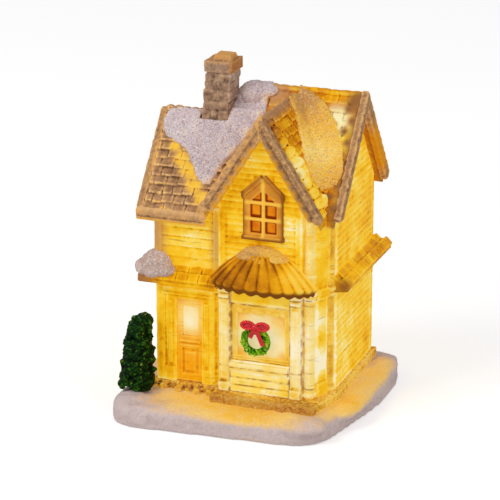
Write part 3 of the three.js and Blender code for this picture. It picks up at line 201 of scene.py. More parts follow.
class Paint:
    """A painted resin material, built up node by node. Sizes are in millimetres."""

    def __init__(self, name, gloss=0.05):
        self.material = bpy.data.materials.new(name)
        self.material.use_nodes = True
        self.tree = self.material.node_tree
        self.place = self.node("ShaderNodeTexCoord", {}).outputs["Object"]
        self.shader({"Specular IOR Level": gloss})

    def shader(self, inputs):
        wired(self.tree, self.tree.nodes["Principled BSDF"], inputs)

    def node(self, kind, inputs, **settings):
        made = self.tree.nodes.new(kind)
        for key, value in settings.items():
            setattr(made, key, value)
        return wired(self.tree, made, inputs)

    def noise(self, size, detail=2.0):
        """Cloudy noise with features of that size, from 0 to 1."""
        inputs = {"Vector": self.place, "Scale": 1 / (size * MM), "Detail": detail}
        return self.node("ShaderNodeTexNoise", inputs).outputs["Fac"]

    def grains(self, size):
        """Grains of that size, with three chance values from 0 to 1 that hold for a grain."""
        made = self.node("ShaderNodeTexVoronoi", {"Vector": self.place, "Scale": 1 / (size * MM)})
        split = self.node("ShaderNodeSeparateColor", {"Color": made.outputs["Color"]})
        return split.outputs["Red"], split.outputs["Green"], split.outputs["Blue"]

    def span(self, source, low, high, to_low, to_high, bend="LINEAR"):
        """Carries one range of values over to another and stops at both its ends."""
        inputs = {"Value": source, "From Min": low, "From Max": high, "To Min": to_low, "To Max": to_high}
        return self.node("ShaderNodeMapRange", inputs, interpolation_type=bend).outputs["Result"]

    def maths(self, operation, first, second):
        return self.node("ShaderNodeMath", {0: first, 1: second}, operation=operation).outputs["Value"]

    def spot(self, centre, reach, strength, ways=(1, 1, 1)):
        """A soft round spot that fades out at its reach, or a stripe along a way of 0."""
        flat = self.node("ShaderNodeVectorMath", {0: self.place, 1: ways}, operation="MULTIPLY")
        inputs = {0: flat.outputs["Vector"], 1: [value * MM * way for value, way in zip(centre, ways)]}
        away = self.node("ShaderNodeVectorMath", inputs, operation="DISTANCE")
        return self.span(away.outputs["Value"], 0, reach * MM, strength, 0, "SMOOTHSTEP")

    def painted_light_spots(self, field, spots):
        """Adds soft spots of painted light to a field, each with its centre, reach and strength. A strength
        below 0 makes a spot of painted shade.
        """
        for centre, reach, strength in spots:
            field = self.maths("ADD", field, self.spot(centre, reach, strength))
        return field

    def cloudy(self, size, sway, level):
        """A field that sways round its level in clouds of that size."""
        return self.maths("ADD", self.span(self.noise(size, 3.0), 0.3, 0.7, -sway, sway), level)

    def hollow(self):
        return self.node("ShaderNodeAttribute", {}, attribute_name="hollow").outputs["Fac"]

    def edges(self, depth):
        """Painted shade in hollows and a painted highlight on edges: hollows count down and edges count up.
        """
        return self.span(self.hollow(), -1, 1, depth * 0.6, -depth)

    def height(self, low, high, below, above):
        """A change from bottom to top between two heights."""
        up = self.node("ShaderNodeSeparateXYZ", {"Vector": self.place}).outputs["Z"]
        return self.span(up, low * MM, high * MM, below, above, "SMOOTHSTEP")

    def ramp(self, source, stops):
        made = self.node("ShaderNodeValToRGB", {"Fac": source})
        band = made.color_ramp
        while len(band.elements) < len(stops):
            band.elements.new(1.0)
        for element, (at, tint) in zip(band.elements, stops):
            element.position = at
            element.color = shade(*tint)
        return made.outputs["Color"]

    def mix(self, share, *tints):
        """Two tints mixed, each a colour of its own or one that comes from a node."""
        first, second = [shade(*tint) if isinstance(tint, tuple) else tint for tint in tints]
        return self.node("ShaderNodeMix", {0: share, 6: first, 7: second}, data_type="RGBA").outputs[2]

    def patched(self, tint, patches):
        """Colours laid over the tint as soft spots, or as stripes if a way is 0.
        A thin stripe is a line of brown wash, broken up as a brush leaves it."""
        for centre, reach, strength, colour, *ways in patches:
            share = self.spot(centre, reach, strength, *ways)
            if reach < 0.6:
                share = self.maths("MULTIPLY", share, self.span(self.noise(2.2), 0.38, 0.6, 0.15, 1))
            tint = self.mix(share, tint, colour)
        return tint

    def dimmed(self, tint, share):
        return self.node(
            "ShaderNodeVectorMath", {0: tint, "Scale": share}, operation="SCALE",
        ).outputs["Vector"]

    def lit(self, tint, share, through=0.62):
        """Part of the colour is the paint, and part is lamplight through the resin."""
        self.shader({
            "Base Color": self.dimmed(tint, self.span(share, 0, 1, 1, 0.4)),
            "Emission Color": self.dimmed(tint, self.span(share, 0, 1, 0, through)),
            "Emission Strength": 1.0,
        })

    def surface(self, rough, grain, size, height=0.2):
        """Roughness that varies a little, and a fine grain in relief."""
        speck = self.noise(size, 3.0)
        inputs = {"Height": speck, "Strength": grain, "Distance": height * MM}
        self.shader({
            "Roughness": self.span(speck, 0.3, 0.7, rough - 0.1, rough + 0.1),
            "Normal": self.node("ShaderNodeBump", inputs).outputs["Normal"],
        })


def snow_paint(
    name, stops, spots, level=0.0, specks=0.5, flat_top=None, patches=(), glint=(252, 240, 226),
):
    """Glittered snow: fine grains of lavender, white, pink and grey, with soft spots of painted lamplight
    that warm it, and a little painted shade in its hollows.
    """
    paint = Paint(name)
    # Soft spots of painted lamplight.
    painted_glow = paint.painted_light_spots(paint.span(paint.noise(7), 0.3, 0.7, -0.08, 0.08), spots)
    # The painted light falls on the top: lower down, on the sides, little of it stays.
    if flat_top:
        painted_glow = paint.maths("MULTIPLY", painted_glow, paint.height(*flat_top, 0.12, 1))
    field = paint.maths("ADD", paint.maths("ADD", painted_glow, level), paint.edges(0.1))
    tint = paint.patched(paint.ramp(field, stops), patches)
    dark, bright, blush = paint.grains(0.34)
    tint = paint.mix(paint.span(dark, 0.8, 0.95, 0, specks), tint, (132, 104, 96))
    tint = paint.mix(paint.span(bright, 0.72, 0.9, 0, specks), tint, glint)
    tint = paint.mix(paint.span(blush, 0.7, 0.9, 0, specks * 0.6), tint, (232, 178, 150))
    paint.lit(tint, paint.span(field, 0.25, 0.75, 0, 0.9))
    paint.surface(0.6, 0.6, 0.4, 0.2)
    return paint.material


# From the lavender white of the snow to the gold of painted lamplight on it.
snow_to_lamplit_gold = [
    (0.0, (186, 168, 166)), (0.22, (212, 194, 192)), (0.4, (236, 196, 140)),
    (0.58, (248, 204, 112)), (0.8, (247, 190, 64)), (1.0, (240, 170, 44)),
]
base_snow = snow_paint(
    "base_snow", snow_to_lamplit_gold,
    [
        ((8, -27, 8), 26, 0.75), ((-14, -23, 8), 20, 0.6), ((31, -10, 8), 22, 0.7),
        ((33, 14, 8), 20, 0.6), ((-34, -14, 8), 14, 0.4), ((0, 34, 8), 24, 0.5),
        ((-32, 8, 8), 18, 0.4),
    ],
    level=0.14, specks=0.16, flat_top=(4.2, BASE_TOP),
)

mounds = [
    lump((-31, -29, 5.2), (12, 12, 6.5)), lump((-12, -31, 5.4), (26, 9, 6)),
    lump((22, -29, 5.3), (20, 10, 6)), lump((33, -4, 5.3), (9, 30, 6)),
    lump((33, 26, 5.3), (9, 18, 6)), lump((0, 33, 5.3), (60, 7, 5.5)),
    lump((-33, 10, 5.4), (9, 44, 6)),
]


def off_unit(point, clear=UNIT_CLEAR):
    return math.hypot(point.x - UNIT_X, point.y - UNIT_Y) > clear


def on_base(point):
    return off_unit(point) and point.z > FLAT_BELOW


base_dents = [(1.5, 9), (0.5, 1.6)]
casting("snowy_base", "snow_base", mounds, (0.75, 6), base_dents, base_snow, "snow_white", on_base)


# Stone platform: the low plinth under the walls, with a kerb of rough stones
# along the bay and four small stones at the foot of the wing.
# Cast with the base, painted brown and gritty, golden on top where light falls.
FLOOR = 9.8
BY_X, BY_Y, BY_Z = (1, 0, 0), (0, 1, 0), (0, 0, 1)
chance = random.Random(11)
stone_stops = [
    (0.0, (104, 66, 30)), (0.25, (158, 106, 48)), (0.45, (204, 144, 52)),
    (0.7, (236, 176, 48)), (1.0, (250, 206, 92)),
]


def stone_paint(
    name, stops, spots, level, depth=0.35, grit=0.4, mottle=0.12, patches=(), mortar=0.0,
):
    """Speckled stone, with dark mortar in its joints if there is a share of it."""
    paint = Paint(name)
    # Soft spots of painted light, with painted shade in the hollows and a painted highlight on the edges.
    field = paint.painted_light_spots(paint.cloudy(2.2, mottle, level), spots)
    field = paint.maths("ADD", field, paint.edges(depth))
    tint = paint.patched(paint.ramp(field, stops), patches)
    tint = paint.mix(paint.span(paint.hollow(), 0.25, 0.8, 0, mortar), tint, (62, 44, 34))
    bright, dark = paint.grains(0.4)[:2]
    tint = paint.mix(paint.span(bright, 0.8, 0.95, 0, grit), tint, (250, 214, 150))
    tint = paint.mix(paint.span(dark, 0.8, 0.95, 0, grit), tint, (96, 62, 36))
    paint.lit(tint, paint.span(field, 0.4, 0.85, 0, 0.9), 0.6)
    paint.surface(0.75, 0.9, 0.5, 0.3)
    return paint.material


platform_stone = stone_paint(
    "platform_stone", stone_stops,
    [((6, -22, 11), 12, 0.35), ((27, -14, 10), 12, 0.35), ((30, 4, 10), 18, 0.4), ((29, 22, 10), 14, 0.3)],
    0.56, grit=0.3, patches=[((0, -25.4, 0), 3.2, 0.6, (184, 124, 58), BY_Y)],
)
stones = []
KERB_FRONT, KERB_LEFT, KERB_RIGHT = -25, -7.2, 26.1
x = KERB_LEFT
while x < KERB_RIGHT - 1.5:
    width = chance.uniform(3.2, 5.6)
    middle = min(x + width / 2, KERB_RIGHT - 1.2)
    place = (middle, KERB_FRONT + 1.2 + chance.uniform(-0.2, 0.3), 8.3 + chance.uniform(-0.2, 0.15))
    lie = [chance.uniform(-sway, sway) for sway in (0.08, 0.05, 0.06)]
    stones.append(block(place, (width - 0.3, 2.8, 3.0), lie))
    x += width
for x, y, width in ((-24.5, -19.6, 2.6), (-19.6, -19.9, 2.4), (-13.6, -20, 2.7), (-9.2, -20.4, 2.4)):
    stones.append(lump((x, y, 8), (width, 2, 2.6), (0.1, 0.2, chance.uniform(-0.5, 0.5))))


def on_platform(point):
    return off_unit(point, UNIT_CLEAR - 3)


casting(
    "stone_plinth", "stone_platform", stones, (0.4, 2), [(0.7, 1.5), (0.35, 0.6)],
    platform_stone, "stone_brown", on_platform,
)


# Walls: thin shells of cast resin with clapboards modelled on them, painted a
# washed yellow and lit from inside, so that thin places glow almost white.
# The boards stop under the roofs, and every wall joins its neighbours.
STOREY = 44.5
ROOF_BELOW = 2.1
MAIN_RIGHT, MAIN_LEFT, MAIN_BACK = 27.5, -5.5, 30
WING_LEFT, WING_FRONT, WING_BACK = -27, -17.5, 19.5
BAY_FRONT, GABLE_X = -19.5, 8.5
walls = random.Random(5)


def roof_planes(ridge, top, low, low_z, high, high_z):
    return {
        "ridge": ridge, "top": top, "low": low, "high": high,
        "fall": ((top - low_z) / (ridge - low), (top - high_z) / (high - ridge)),
    }


MAIN_ROOF = roof_planes(10, 98.9, -16.5, 67, 33.2, 67.4)
WING_ROOF = roof_planes(0.5, 91, -20.8, 65.4, 22.6, 65.4)
GABLE_ROOF = roof_planes(GABLE_X, 97, -10.1, 68, 27.1, 68)


def roof_z(roof, across, lift=0.0):
    """Height of a roof's plane, lifted square to its slope."""
    low, high = roof["fall"]
    front = roof["top"] - low * (roof["ridge"] - across) + lift * math.hypot(1, low)
    back = roof["top"] - high * (across - roof["ridge"]) + lift * math.hypot(1, high)
    return min(front, back)


def under_roof(roof, z, start, stop):
    """How far a board at that height can run under a roof."""
    low, high = roof["fall"]
    first = roof["ridge"] - (roof["top"] - ROOF_BELOW * math.hypot(1, low) - z) / low
    last = roof["ridge"] + (roof["top"] - ROOF_BELOW * math.hypot(1, high) - z) / high
    return max(start, first), min(stop, last)


SHORTEST_BOARD, BOARD_THICK, BOARD_OVERLAP = 0.8, 1.0, 1.04


def boards(corner, heading, bottom, top, reach, holes=(), pitch=2.0, lip=0.34):
    """Loose boards on a wall that faces a quarter turn right of its heading. Reach
    gives where a board of some height starts and stops along the wall."""
    along = Vector((math.cos(heading), math.sin(heading), 0))
    outward = Vector((math.sin(heading), -math.cos(heading), 0))
    made = []
    z = bottom
    while z < top - 0.6:
        tall = min(pitch * walls.uniform(0.88, 1.12), top - z)
        start, stop = reach(z + tall)
        pieces = [(start, stop)]
        for left, right, low, high in holes:
            if low < z + tall and z < high:
                pieces = [part for a, b in pieces for part in ((a, min(b, left)), (max(a, right), b))]
        for a, b in pieces:
            if b - a < SHORTEST_BOARD:
                continue
            middle = Vector((*corner, 0)) + along * ((a + b) / 2) - outward * ((BOARD_THICK - lip) / 2)
            middle.z = z + tall / 2 + walls.uniform(-0.08, 0.08)
            tilt = -lip / tall * walls.uniform(0.8, 1.5)
            roll = walls.uniform(-0.004, 0.004)
            made.append(block(middle, (b - a, BOARD_THICK, tall * BOARD_OVERLAP), (tilt, roll, heading)))
        z += tall
    return made


wall_stops = [
    (0.0, (104, 54, 6)), (0.14, (164, 94, 6)), (0.3, (216, 138, 4)),
    (0.46, (242, 174, 10)), (0.62, (251, 200, 40)), (0.78, (253, 218, 92)),
    (0.9, (254, 232, 152)), (1.0, (255, 244, 206)),
]


def wall_paint(
    name, level, spots, streak=0.5, stops=wall_stops, scratches=(150, 150, 1300), brown=(146, 84, 14),
    joints=0.9, patches=(), groove=(0.3, 0.9, 0.1),
):
    """A wash with brown rubbed into the joints and into fine scratches, lit from inside with soft spots of
    painted light, with painted shade in the hollows and a painted highlight on the edges. Groove says how
    deep a joint starts and ends, and how little brown stays where it is rubbed away."""
    paint = Paint(name)
    field = paint.painted_light_spots(paint.cloudy(6, 0.13, level), spots)
    # Painted shade in the hollows and a painted highlight on the edges, broken up by noise.
    rubbed_and_painted_shade = paint.maths("MULTIPLY", paint.edges(0.34), paint.span(paint.noise(4), 0.35, 0.6, 0.55, 1.2))
    field = paint.maths("ADD", field, rubbed_and_painted_shade)
    tint = paint.ramp(field, stops)
    # Brown wash in the joints and recesses, which also stands as painted shade there.
    joint = paint.span(paint.hollow(), groove[0], groove[1], 0, joints)
    joint = paint.maths("MULTIPLY", joint, paint.span(paint.noise(3.5), 0.42, 0.6, groove[2], 1))
    tint = paint.patched(paint.mix(joint, tint, brown), patches)
    drawn = paint.node("ShaderNodeMapping", {"Vector": paint.place, "Scale": scratches})
    inputs = {"Vector": drawn.outputs["Vector"], "Scale": 1.0, "Detail": 3.0}
    scratch = paint.node("ShaderNodeTexNoise", inputs)
    rubbed = paint.span(scratch.outputs["Fac"], 0.6, 0.72, 0, streak)
    patchy = paint.span(paint.noise(6), 0.4, 0.6, 0.15, 1)
    tint = paint.mix(paint.maths("MULTIPLY", rubbed, patchy), tint, brown)
    paint.lit(tint, paint.span(field, 0.0, 0.5, 0.6, 1))
    paint.surface(0.5, 0.35, 0.5)
    return paint.material


def clad_wall(name, node, cladding, paint, grid=0.4, dent=0.3, size=2.2):
    """A wall with its loose boards cast onto it, dented by hand and painted."""
    casting(name, node, cladding, (grid, 1, 0.15), [(dent, size)], paint, "wall_glow")


right_wall_paint = wall_paint(
    "right_wall_yellow", 0.65,
    [((27, -4, 24), 22, 0.16), ((27, 4, 84), 14, 0.14), ((27, 24, 56), 16, -0.12), ((27, 26, 14), 12, -0.1)],
)
wing_wall_paint = wall_paint(
    "wing_wall_yellow", 0.59,
    [((-26, -18, 20), 11, -0.1), ((-14, -18, 56), 16, 0.2), ((-27, 2, 30), 18, 0.12)],
    patches=[
        ((-26.9, -18, 56), 5, 0.9, (196, 146, 92), (1, 1, 0.3)),
        ((-7.0, -18, 56), 3.6, 0.8, (200, 148, 84), (1, 1, 0.2)),
    ],
)
bay_wall_paint = wall_paint(
    "bay_wall_yellow", 0.5,
    [
        ((17, -20, 64), 10, 0.34), ((8.5, -20, 85), 10, 0.2), ((-2, -20, 52), 9, 0.25),
        ((0.5, -20, 64), 6, 0.3), ((8.5, -20, 58), 5, -0.1),
    ],
    streak=0.6,
)
canted_paint = wall_paint(
    "canted_wall_cream", 0.62,
    [((25, -14.5, 21), 8, 0.6), ((25, -14.5, 34), 12, 0.25), ((25, -14, 56), 12, 0.1)],
)
back_wall_paint = wall_paint(
    "back_wall_yellow", 0.55,
    [((10, 30, 30), 22, 0.2), ((8, 30, 62), 20, 0.12), ((-16, 20, 30), 14, 0.12)],
)

RIGHT, BACK, LEFT, FRONT = math.pi / 2, math.pi, -math.pi / 2, 0.0


def turned(start, stop):
    """The same reach along a wall that is counted the other way."""
    return tuple(sorted((-start, -stop)))


def above_wing(z):
    """Where the main house's left wall is free of the wing and of its roof."""
    front, back = under_roof(MAIN_ROOF, z, 5, 27.3)
    if z < 66:
        return turned(19.8, back)
    wing_back = WING_ROOF["ridge"] + (WING_ROOF["top"] - z) / WING_ROOF["fall"][1]
    return turned(max(front, wing_back + 1), back)


right_boards = boards((MAIN_RIGHT, 0), RIGHT, FLOOR, 97, lambda z: under_roof(MAIN_ROOF, z, -8.2, 27.3))
clad_wall("right_wall", "wall_right", right_boards, right_wall_paint)
left_boards = boards(
    (WING_LEFT, 0), LEFT, FLOOR, 89, lambda z: turned(*under_roof(WING_ROOF, z, -14.8, 16.8)),
)
clad_wall("left_wall", "wall_left", left_boards, wing_wall_paint)
back_wing_boards = boards((0, WING_BACK), BACK, FLOOR, 66, lambda z: (5.8, 27))
clad_wall("wing_back_wall", "wall_back_wing", back_wing_boards, back_wall_paint)
back_main_boards = boards((0, MAIN_BACK), BACK, FLOOR, 67.5, lambda z: (-27.5, 5.5))
clad_wall("main_back_wall", "wall_back_main", back_main_boards, back_wall_paint)
main_left_boards = boards((MAIN_LEFT, 0), LEFT, FLOOR, 97, above_wing)
clad_wall("main_left_wall", "wall_main_left", main_left_boards, back_wall_paint)


# Front of the wing: above, its clapboards between two edge boards, and below, the
# wall round the door with its corner board, a cove cornice and a brown band.
# All are cast in one with the wing and painted as the walls are.
DOOR_X = -16.5
upper_cladding = boards(
    (0, WING_FRONT), FRONT, STOREY, 66.5, lambda z: (-26.6, -6.4), pitch=3.0, lip=0.4,
)
upper_cladding += [block((-26.4, -17.6, 56), (1.9, 1.3, 22)), block((-7.3, -17.7, 56), (1.6, 1.2, 22))]
clad_wall("wing_upper_wall", "wall_wing_upper", upper_cladding, wing_wall_paint, 0.35)
lower_cladding = [
    block((-25.9, -17.5, 26.8), (2.4, 1.2, 34)),
    block((DOOR_X, -18.0, 42.3), (20.4, 1.6, 1.0)), block((DOOR_X, -17.8, 40.9), (20.4, 1.0, 0.9)),
    block((-23.5, -17.6, 30), (0.8, 0.8, 20)), block((-9.0, -17.7, 26), (1.6, 0.9, 30)),
]
clad_wall("wing_lower_wall", "wall_wing_lower", lower_cladding, wing_wall_paint, 0.35, 0.35)


# Bay: the gabled front wall with the pointed window's opening, the lintel and the
# low wall of the shop window, and the canted wall beside them, which is a smooth
# rounded pier above the storey line. Cast in one and washed yellow and cream.
gable_boards = boards(
    (0, BAY_FRONT), FRONT, STOREY, 93, lambda z: under_roof(GABLE_ROOF, z, -5.8, 20.6),
    holes=[(3.2, 13.8, 60.6, 76), (5, 12, 76, 79)], pitch=1.9,
)
gable_boards += [block((x, -19.6, 56), (1.8, 1.0, 23)) for x in (-4.9, 19.7)]
clad_wall("gable_wall", "wall_gable", gable_boards, bay_wall_paint, 0.35, size=2.0)

CANT_X, CANT_Y = 24.2, -13.6
CANT = math.atan2(7.2, 3.6)


def on_cant(out, z):
    """A place on the canted wall, that far out of its middle."""
    return CANT_X + out * math.sin(CANT), CANT_Y - out * math.cos(CANT), z


pier = [lump(on_cant(0.6, 49 + 3.4 * i), (6.6, 3.4, 9), (0, 0, CANT)) for i in range(7)]
pier += [
    block(on_cant(1.2, z), (4.4, out, tall), (0, 0, CANT))
    for z, out, tall in ((43.6, 1.8, 1.6), (41.8, 1.2, 1.2), (12, 1.0, 4))
]
clad_wall("canted_wall", "wall_canted", pier, canted_paint, 0.35, 0.35, 2.0)

INK = (158, 92, 10)


def lines(x=(), z=(), reach=0.5, strength=0.8, colour=INK):
    """Painted lines: upright ones at each x and level ones at each z."""
    upright = [((at, 0, 0), reach, strength, colour, BY_X) for at in x]
    return upright + [((0, 0, at), reach, strength, colour, BY_Z) for at in z]


shop_paint = wall_paint(
    "shop_front_cream", 0.69, [((8, -21, 14), 16, 0.25), ((16, -21, 24), 12, 0.12)],
    patches=lines(x=(-2.1, 16.9), z=(9.9, 12.3, 14.7, 17.2), strength=0.85),
)
casting("shop_head", "shop_lintel", [], (0.35, 1, 0.12), [(0.25, 2.0)], shop_paint, "wall_glow")
casting("shop_low_wall", "stall_wall", [], (0.4, 1, 0.12), [(0.2, 2.0)], shop_paint, "wall_glow")


# Posts and pilasters: two rounded posts at the corners of the canted wall and
# two flat pilasters beside the shop window, each with a moulded foot and head.
# Cast with the walls and washed cream, and the one at the corner amber.
trim_stops = [
    (0.0, (104, 58, 14)), (0.2, (170, 106, 22)), (0.36, (214, 150, 36)),
    (0.55, (246, 198, 70)), (0.75, (250, 222, 130)), (1.0, (255, 242, 205)),
]
amber_trim = wall_paint("amber_trim", 0.5, [((26, -10, 56), 8, -0.14)], 0.6, trim_stops)
cream_trim = wall_paint(
    "cream_trim", 0.67, [((18, -20, 26), 16, 0.22), ((-4, -20, 26), 12, 0.1)], stops=trim_stops,
    patches=lines(x=(-6.0, -2.3, 17.0, 20.8)) + lines(z=(12.9, 39.8, 41.6, 18.1), reach=0.45),
)
for node, x, y, paint in (("post_bay", 22.4, -17.2, cream_trim), ("post_corner", 26, -10, amber_trim)):
    rings = [
        lump((x, y, z), (4.0 + out, 4.0 + out, tall))
        for z, out, tall in ((11, 0.2, 2.4), (41.5, 0.1, 1.6), (43.4, 0.5, 1.8), (49, 0.0, 1.6))
    ]
    casting("turned_" + node, node, rings, (0.35, 1, 0.15), [(0.3, 1.8)], paint, "trim_glow")
for node, x in (("pilaster_left", -4.1), ("pilaster_right", 18.9)):
    caps = [
        block((x, -20.1, 11.3), (3.6, 1.6, 2.8)), block((x, -20.1, 42.6), (3.6, 1.5, 1.6)),
        block((x, -20.1, 40.4), (3.3, 1.4, 0.7)), block((x, -20.15, 26), (1.6, 0.9, 24)),
    ]
    casting("panelled_" + node, node, caps, (0.35, 1, 0.12), [(0.25, 1.8)], cream_trim, "trim_glow")


# Shop window: three planks of the stall board, a sill on them, a frame with a
# draped swag along its head, and a thin pane that glows cream.
# All cast in one with the bay, so that the pane is only thin painted resin.
SHOP_X = 7.4
planks = [block((SHOP_X, -20.35 + 0.1 * i, 11 + 2.4 * i), (19, 0.8, 1.9)) for i in range(3)]
planks += [lump((8.6, -20.7, 11.2), (2.2, 0.8, 1.3))]
casting("stall_planks", "stall_board", planks, (0.3, 1, 0.1), [(0.2, 1.5)], shop_paint, "wall_glow")
nosing = [block((SHOP_X, -21.1, 18.6), (19.4, 1.0, 0.8))]
casting("window_board", "shop_sill", nosing, (0.3, 2, 0.1), [(0.25, 1.6)], cream_trim, "trim_glow")
swags = [
    lump((0.6 + 2.28 * i, -19.0, 36.1 - 0.3 * (i % 2)), (2.6, 0.9, 1.6), (0, 0.35 * (-1) ** i, 0))
    for i in range(7)
]
swags += [block((SHOP_X, -19.15, 20.4 + 0.9 * i), (17.6, 0.5, 0.35)) for i in range(2)]
frame_gold = wall_paint(
    "shop_frame_gold", 0.6, [], 0.4, trim_stops, joints=1.0, patches=lines(x=(-2.0, 16.8), z=(38.0, 20.0)),
)
casting("shop_window_frame", "shop_frame", swags, (0.22, 2, 0.05), [], frame_gold, "trim_glow")

pane_stops = [
    (0.0, (226, 140, 24)), (0.3, (248, 190, 74)), (0.6, (252, 226, 148)),
    (1.0, (255, 244, 208)),
]
pane_cream = wall_paint(
    "pane_cream", 0.38, [((7, -18, 28), 12, 0.65), ((15, -18, 24), 7, 0.2)], 0.1, pane_stops,
    patches=[((x, -18, z), 3.4, 0.8, (248, 178, 60)) for x in (0.2, 14.6) for z in (21.8, 36)],
)
casting("shop_glazing", "shop_pane", [], (0.3, 1), [(0.15, 2.5)], pane_cream, "pane_cream")


# Pointed window: a hooded frame on a sill, with its bars and six small amber
# panes, cast with the bay. The bars catch a golden wash, and the frame's edges
# and the lines beside the bars are rubbed red brown.
window_stops = [
    (0.0, (116, 50, 10)), (0.3, (186, 112, 34)), (0.55, (228, 154, 52)),
    (0.8, (246, 190, 76)), (1.0, (254, 226, 150)),
]
WINDOW_BROWN, WINDOW_BAR = (146, 86, 30), (250, 198, 74)
window_edges = lines((GABLE_X,), (66.3, 71.3), 1.1, 0.9, WINDOW_BAR)
window_edges += lines((), (59.9,), 1.2, 1.1, WINDOW_BROWN)
window_edges += lines((1.9, 15.1), (), 1.5, 1.2, WINDOW_BROWN)
window_edges += [
    ((GABLE_X + side * (0.2 + 0.95 * i), -20.6, 79.8 - 0.89 * i), 1.6, 1.2, WINDOW_BROWN)
    for side in (-1, 1) for i in range(8)
]
window_gold = wall_paint(
    "window_gold", 0.52, [], 0.4, window_stops, brown=(112, 50, 8), joints=1.0, patches=window_edges,
)
hood = [
    block((GABLE_X + side * 3.3, -20.5, 76.6), (8.4, 1.7, 1.5), (0, side * 0.75, 0)) for side in (-1, 1)
]
hood += [block((GABLE_X, -20.4, 60.3), (13.4, 1.8, 1.2))]
hood += [lump((GABLE_X + side * 6.1, -20.4, 73.2), (1.8, 1.8, 2)) for side in (-1, 1)]
casting("pointed_window_frame", "window_frame", hood, (0.22, 2, 0.05), [], window_gold, "barge_brown")
amber_stops = [
    (0.0, (96, 30, 4)), (0.35, (214, 110, 12)), (0.6, (250, 164, 24)),
    (1.0, (255, 206, 90)),
]
amber_pane = wall_paint(
    "window_amber", 0.48, [], 0.1, amber_stops, brown=(110, 30, 4), joints=1.0,
    patches=[((0, -18.9, 0), 0.65, 1.7, (112, 30, 4), BY_Y)]
    + lines((4.6, 7.6, 9.4, 12.4), (61.9, 65.5, 67.1, 70.7, 72), 0.62, 1.0, (138, 42, 6)),
)
lights = [
    block((GABLE_X + side * 2.4, -19.3, z), (3.1, 0.7, tall))
    for z, tall in ((63.7, 3.6), (68.9, 3.6), (73.2, 2.6)) for side in (-1, 1)
]
casting("window_lights", "window_glass", lights, (0.25, 1), [], amber_pane, "window_amber")


# Door: a moulded casing round a leaf that has a small glass, two sill lines under
# it and one low panel. Cast in the wing's wall and painted yellow to deep orange.
door_paint = wall_paint(
    "door_orange", 0.56, [], 0.5,
    [
        (0.0, (120, 60, 8)), (0.3, (222, 132, 8)), (0.5, (250, 172, 14)),
        (0.75, (252, 204, 80)), (1.0, (254, 230, 150)),
    ],
    patches=[
        ((DOOR_X, -17, 31), 9.5, 1.0, (252, 220, 122)), ((DOOR_X, -17, 16.4), 5, 0.9, (248, 164, 18)),
    ],
)
casing_parts = [
    block((DOOR_X, -18.3, 38.9), (15.2, 1.0, 1.1)), block((DOOR_X, -18.5, 40.2), (16.2, 1.2, 0.9)),
]
casing_parts += [block((DOOR_X + side * 6.1, -18.2, 12.2), (3.2, 1.0, 4.2)) for side in (-1, 1)]
casing_parts += [block((DOOR_X + side * 5.9, -18.25, 26), (1.0, 0.7, 20)) for side in (-1, 1)]
casting(
    "door_surround", "door_casing", casing_parts, (0.3, 1, 0.1), [(0.25, 1.8)], wing_wall_paint, "trim_glow",
)
leaf_parts = [
    block((DOOR_X, -17.05, 23.0), (6.4, 0.7, 0.6)), block((DOOR_X, -17.05, 21.6), (6.4, 0.6, 0.5)),
    block((DOOR_X, -16.75, 16.4), (3.4, 0.8, 6.0)),
]
casting("panelled_door", "door_leaf", leaf_parts, (0.25, 1, 0.05), [(0.15, 1.5)], door_paint, "wall_glow")
door_pane_paint = wall_paint("door_pane", 0.35, [((-16.8, -17, 30), 7, 0.55)], 0.1, pane_stops)
casting("door_light", "door_glass", [], (0.25, 1), [], door_pane_paint, "pane_cream")


# Pent roofs between the storeys: two rows of small flat tiles on a solid cast
# slope that runs round the wing and round the back and right side of the house.
# The tiles are washed gold, with brown rubbed into their joints.
tiles = random.Random(8)
SKIRT_TOP, SKIRT_OUT, SKIRT_FALL = 47.4, 4.6, 4.2


def tile_run(start, stop, heading):
    """Two rows of tiles along one straight stretch of pent roof."""
    along = Vector((math.cos(heading), math.sin(heading), 0))
    outward = Vector((math.sin(heading), -math.cos(heading), 0))
    length = (Vector((*stop, 0)) - Vector((*start, 0))).length
    slope = math.atan2(SKIRT_FALL, SKIRT_OUT)
    made = []
    for row, (out, drop, width) in enumerate(((1.2, 1.0, 4.6), (3.5, 2.55, 3.4))):
        grow = out + 1.0
        at = -grow * 0.9 + (width / 2 if row else 0)
        while at < length + grow * 0.9 - 0.6:
            this = width * tiles.uniform(0.85, 1.15)
            middle = Vector((*start, 0)) + along * (at + this / 2) + outward * out
            middle.z = SKIRT_TOP - drop + tiles.uniform(-0.1, 0.1)
            turn = (slope + tiles.uniform(-0.06, 0.06), tiles.uniform(-0.03, 0.03), heading)
            made.append(block(middle, (this - 0.6, 3.0, 1.25), turn))
            at += this
    return made


def kept(pieces, wanted):
    """The loose pieces whose x and y in millimetres are wanted. The others are deleted."""
    stay = [piece for piece in pieces if wanted(piece.location.x / MM, piece.location.y / MM)]
    for piece in set(pieces) - set(stay):
        bpy.data.objects.remove(piece)
    return stay


gold_stops = [
    (0.0, (104, 56, 4)), (0.22, (168, 102, 6)), (0.42, (220, 146, 8)),
    (0.62, (246, 184, 16)), (0.82, (251, 208, 56)), (1.0, (254, 232, 140)),
]


def gold_tiles(name, level, spots, patches):
    return wall_paint(
        name, level, spots, stops=gold_stops, scratches=(160, 160, 420), brown=(112, 60, 10), joints=1.0,
        patches=patches, groove=(0.08, 0.55, 0.7),
    )


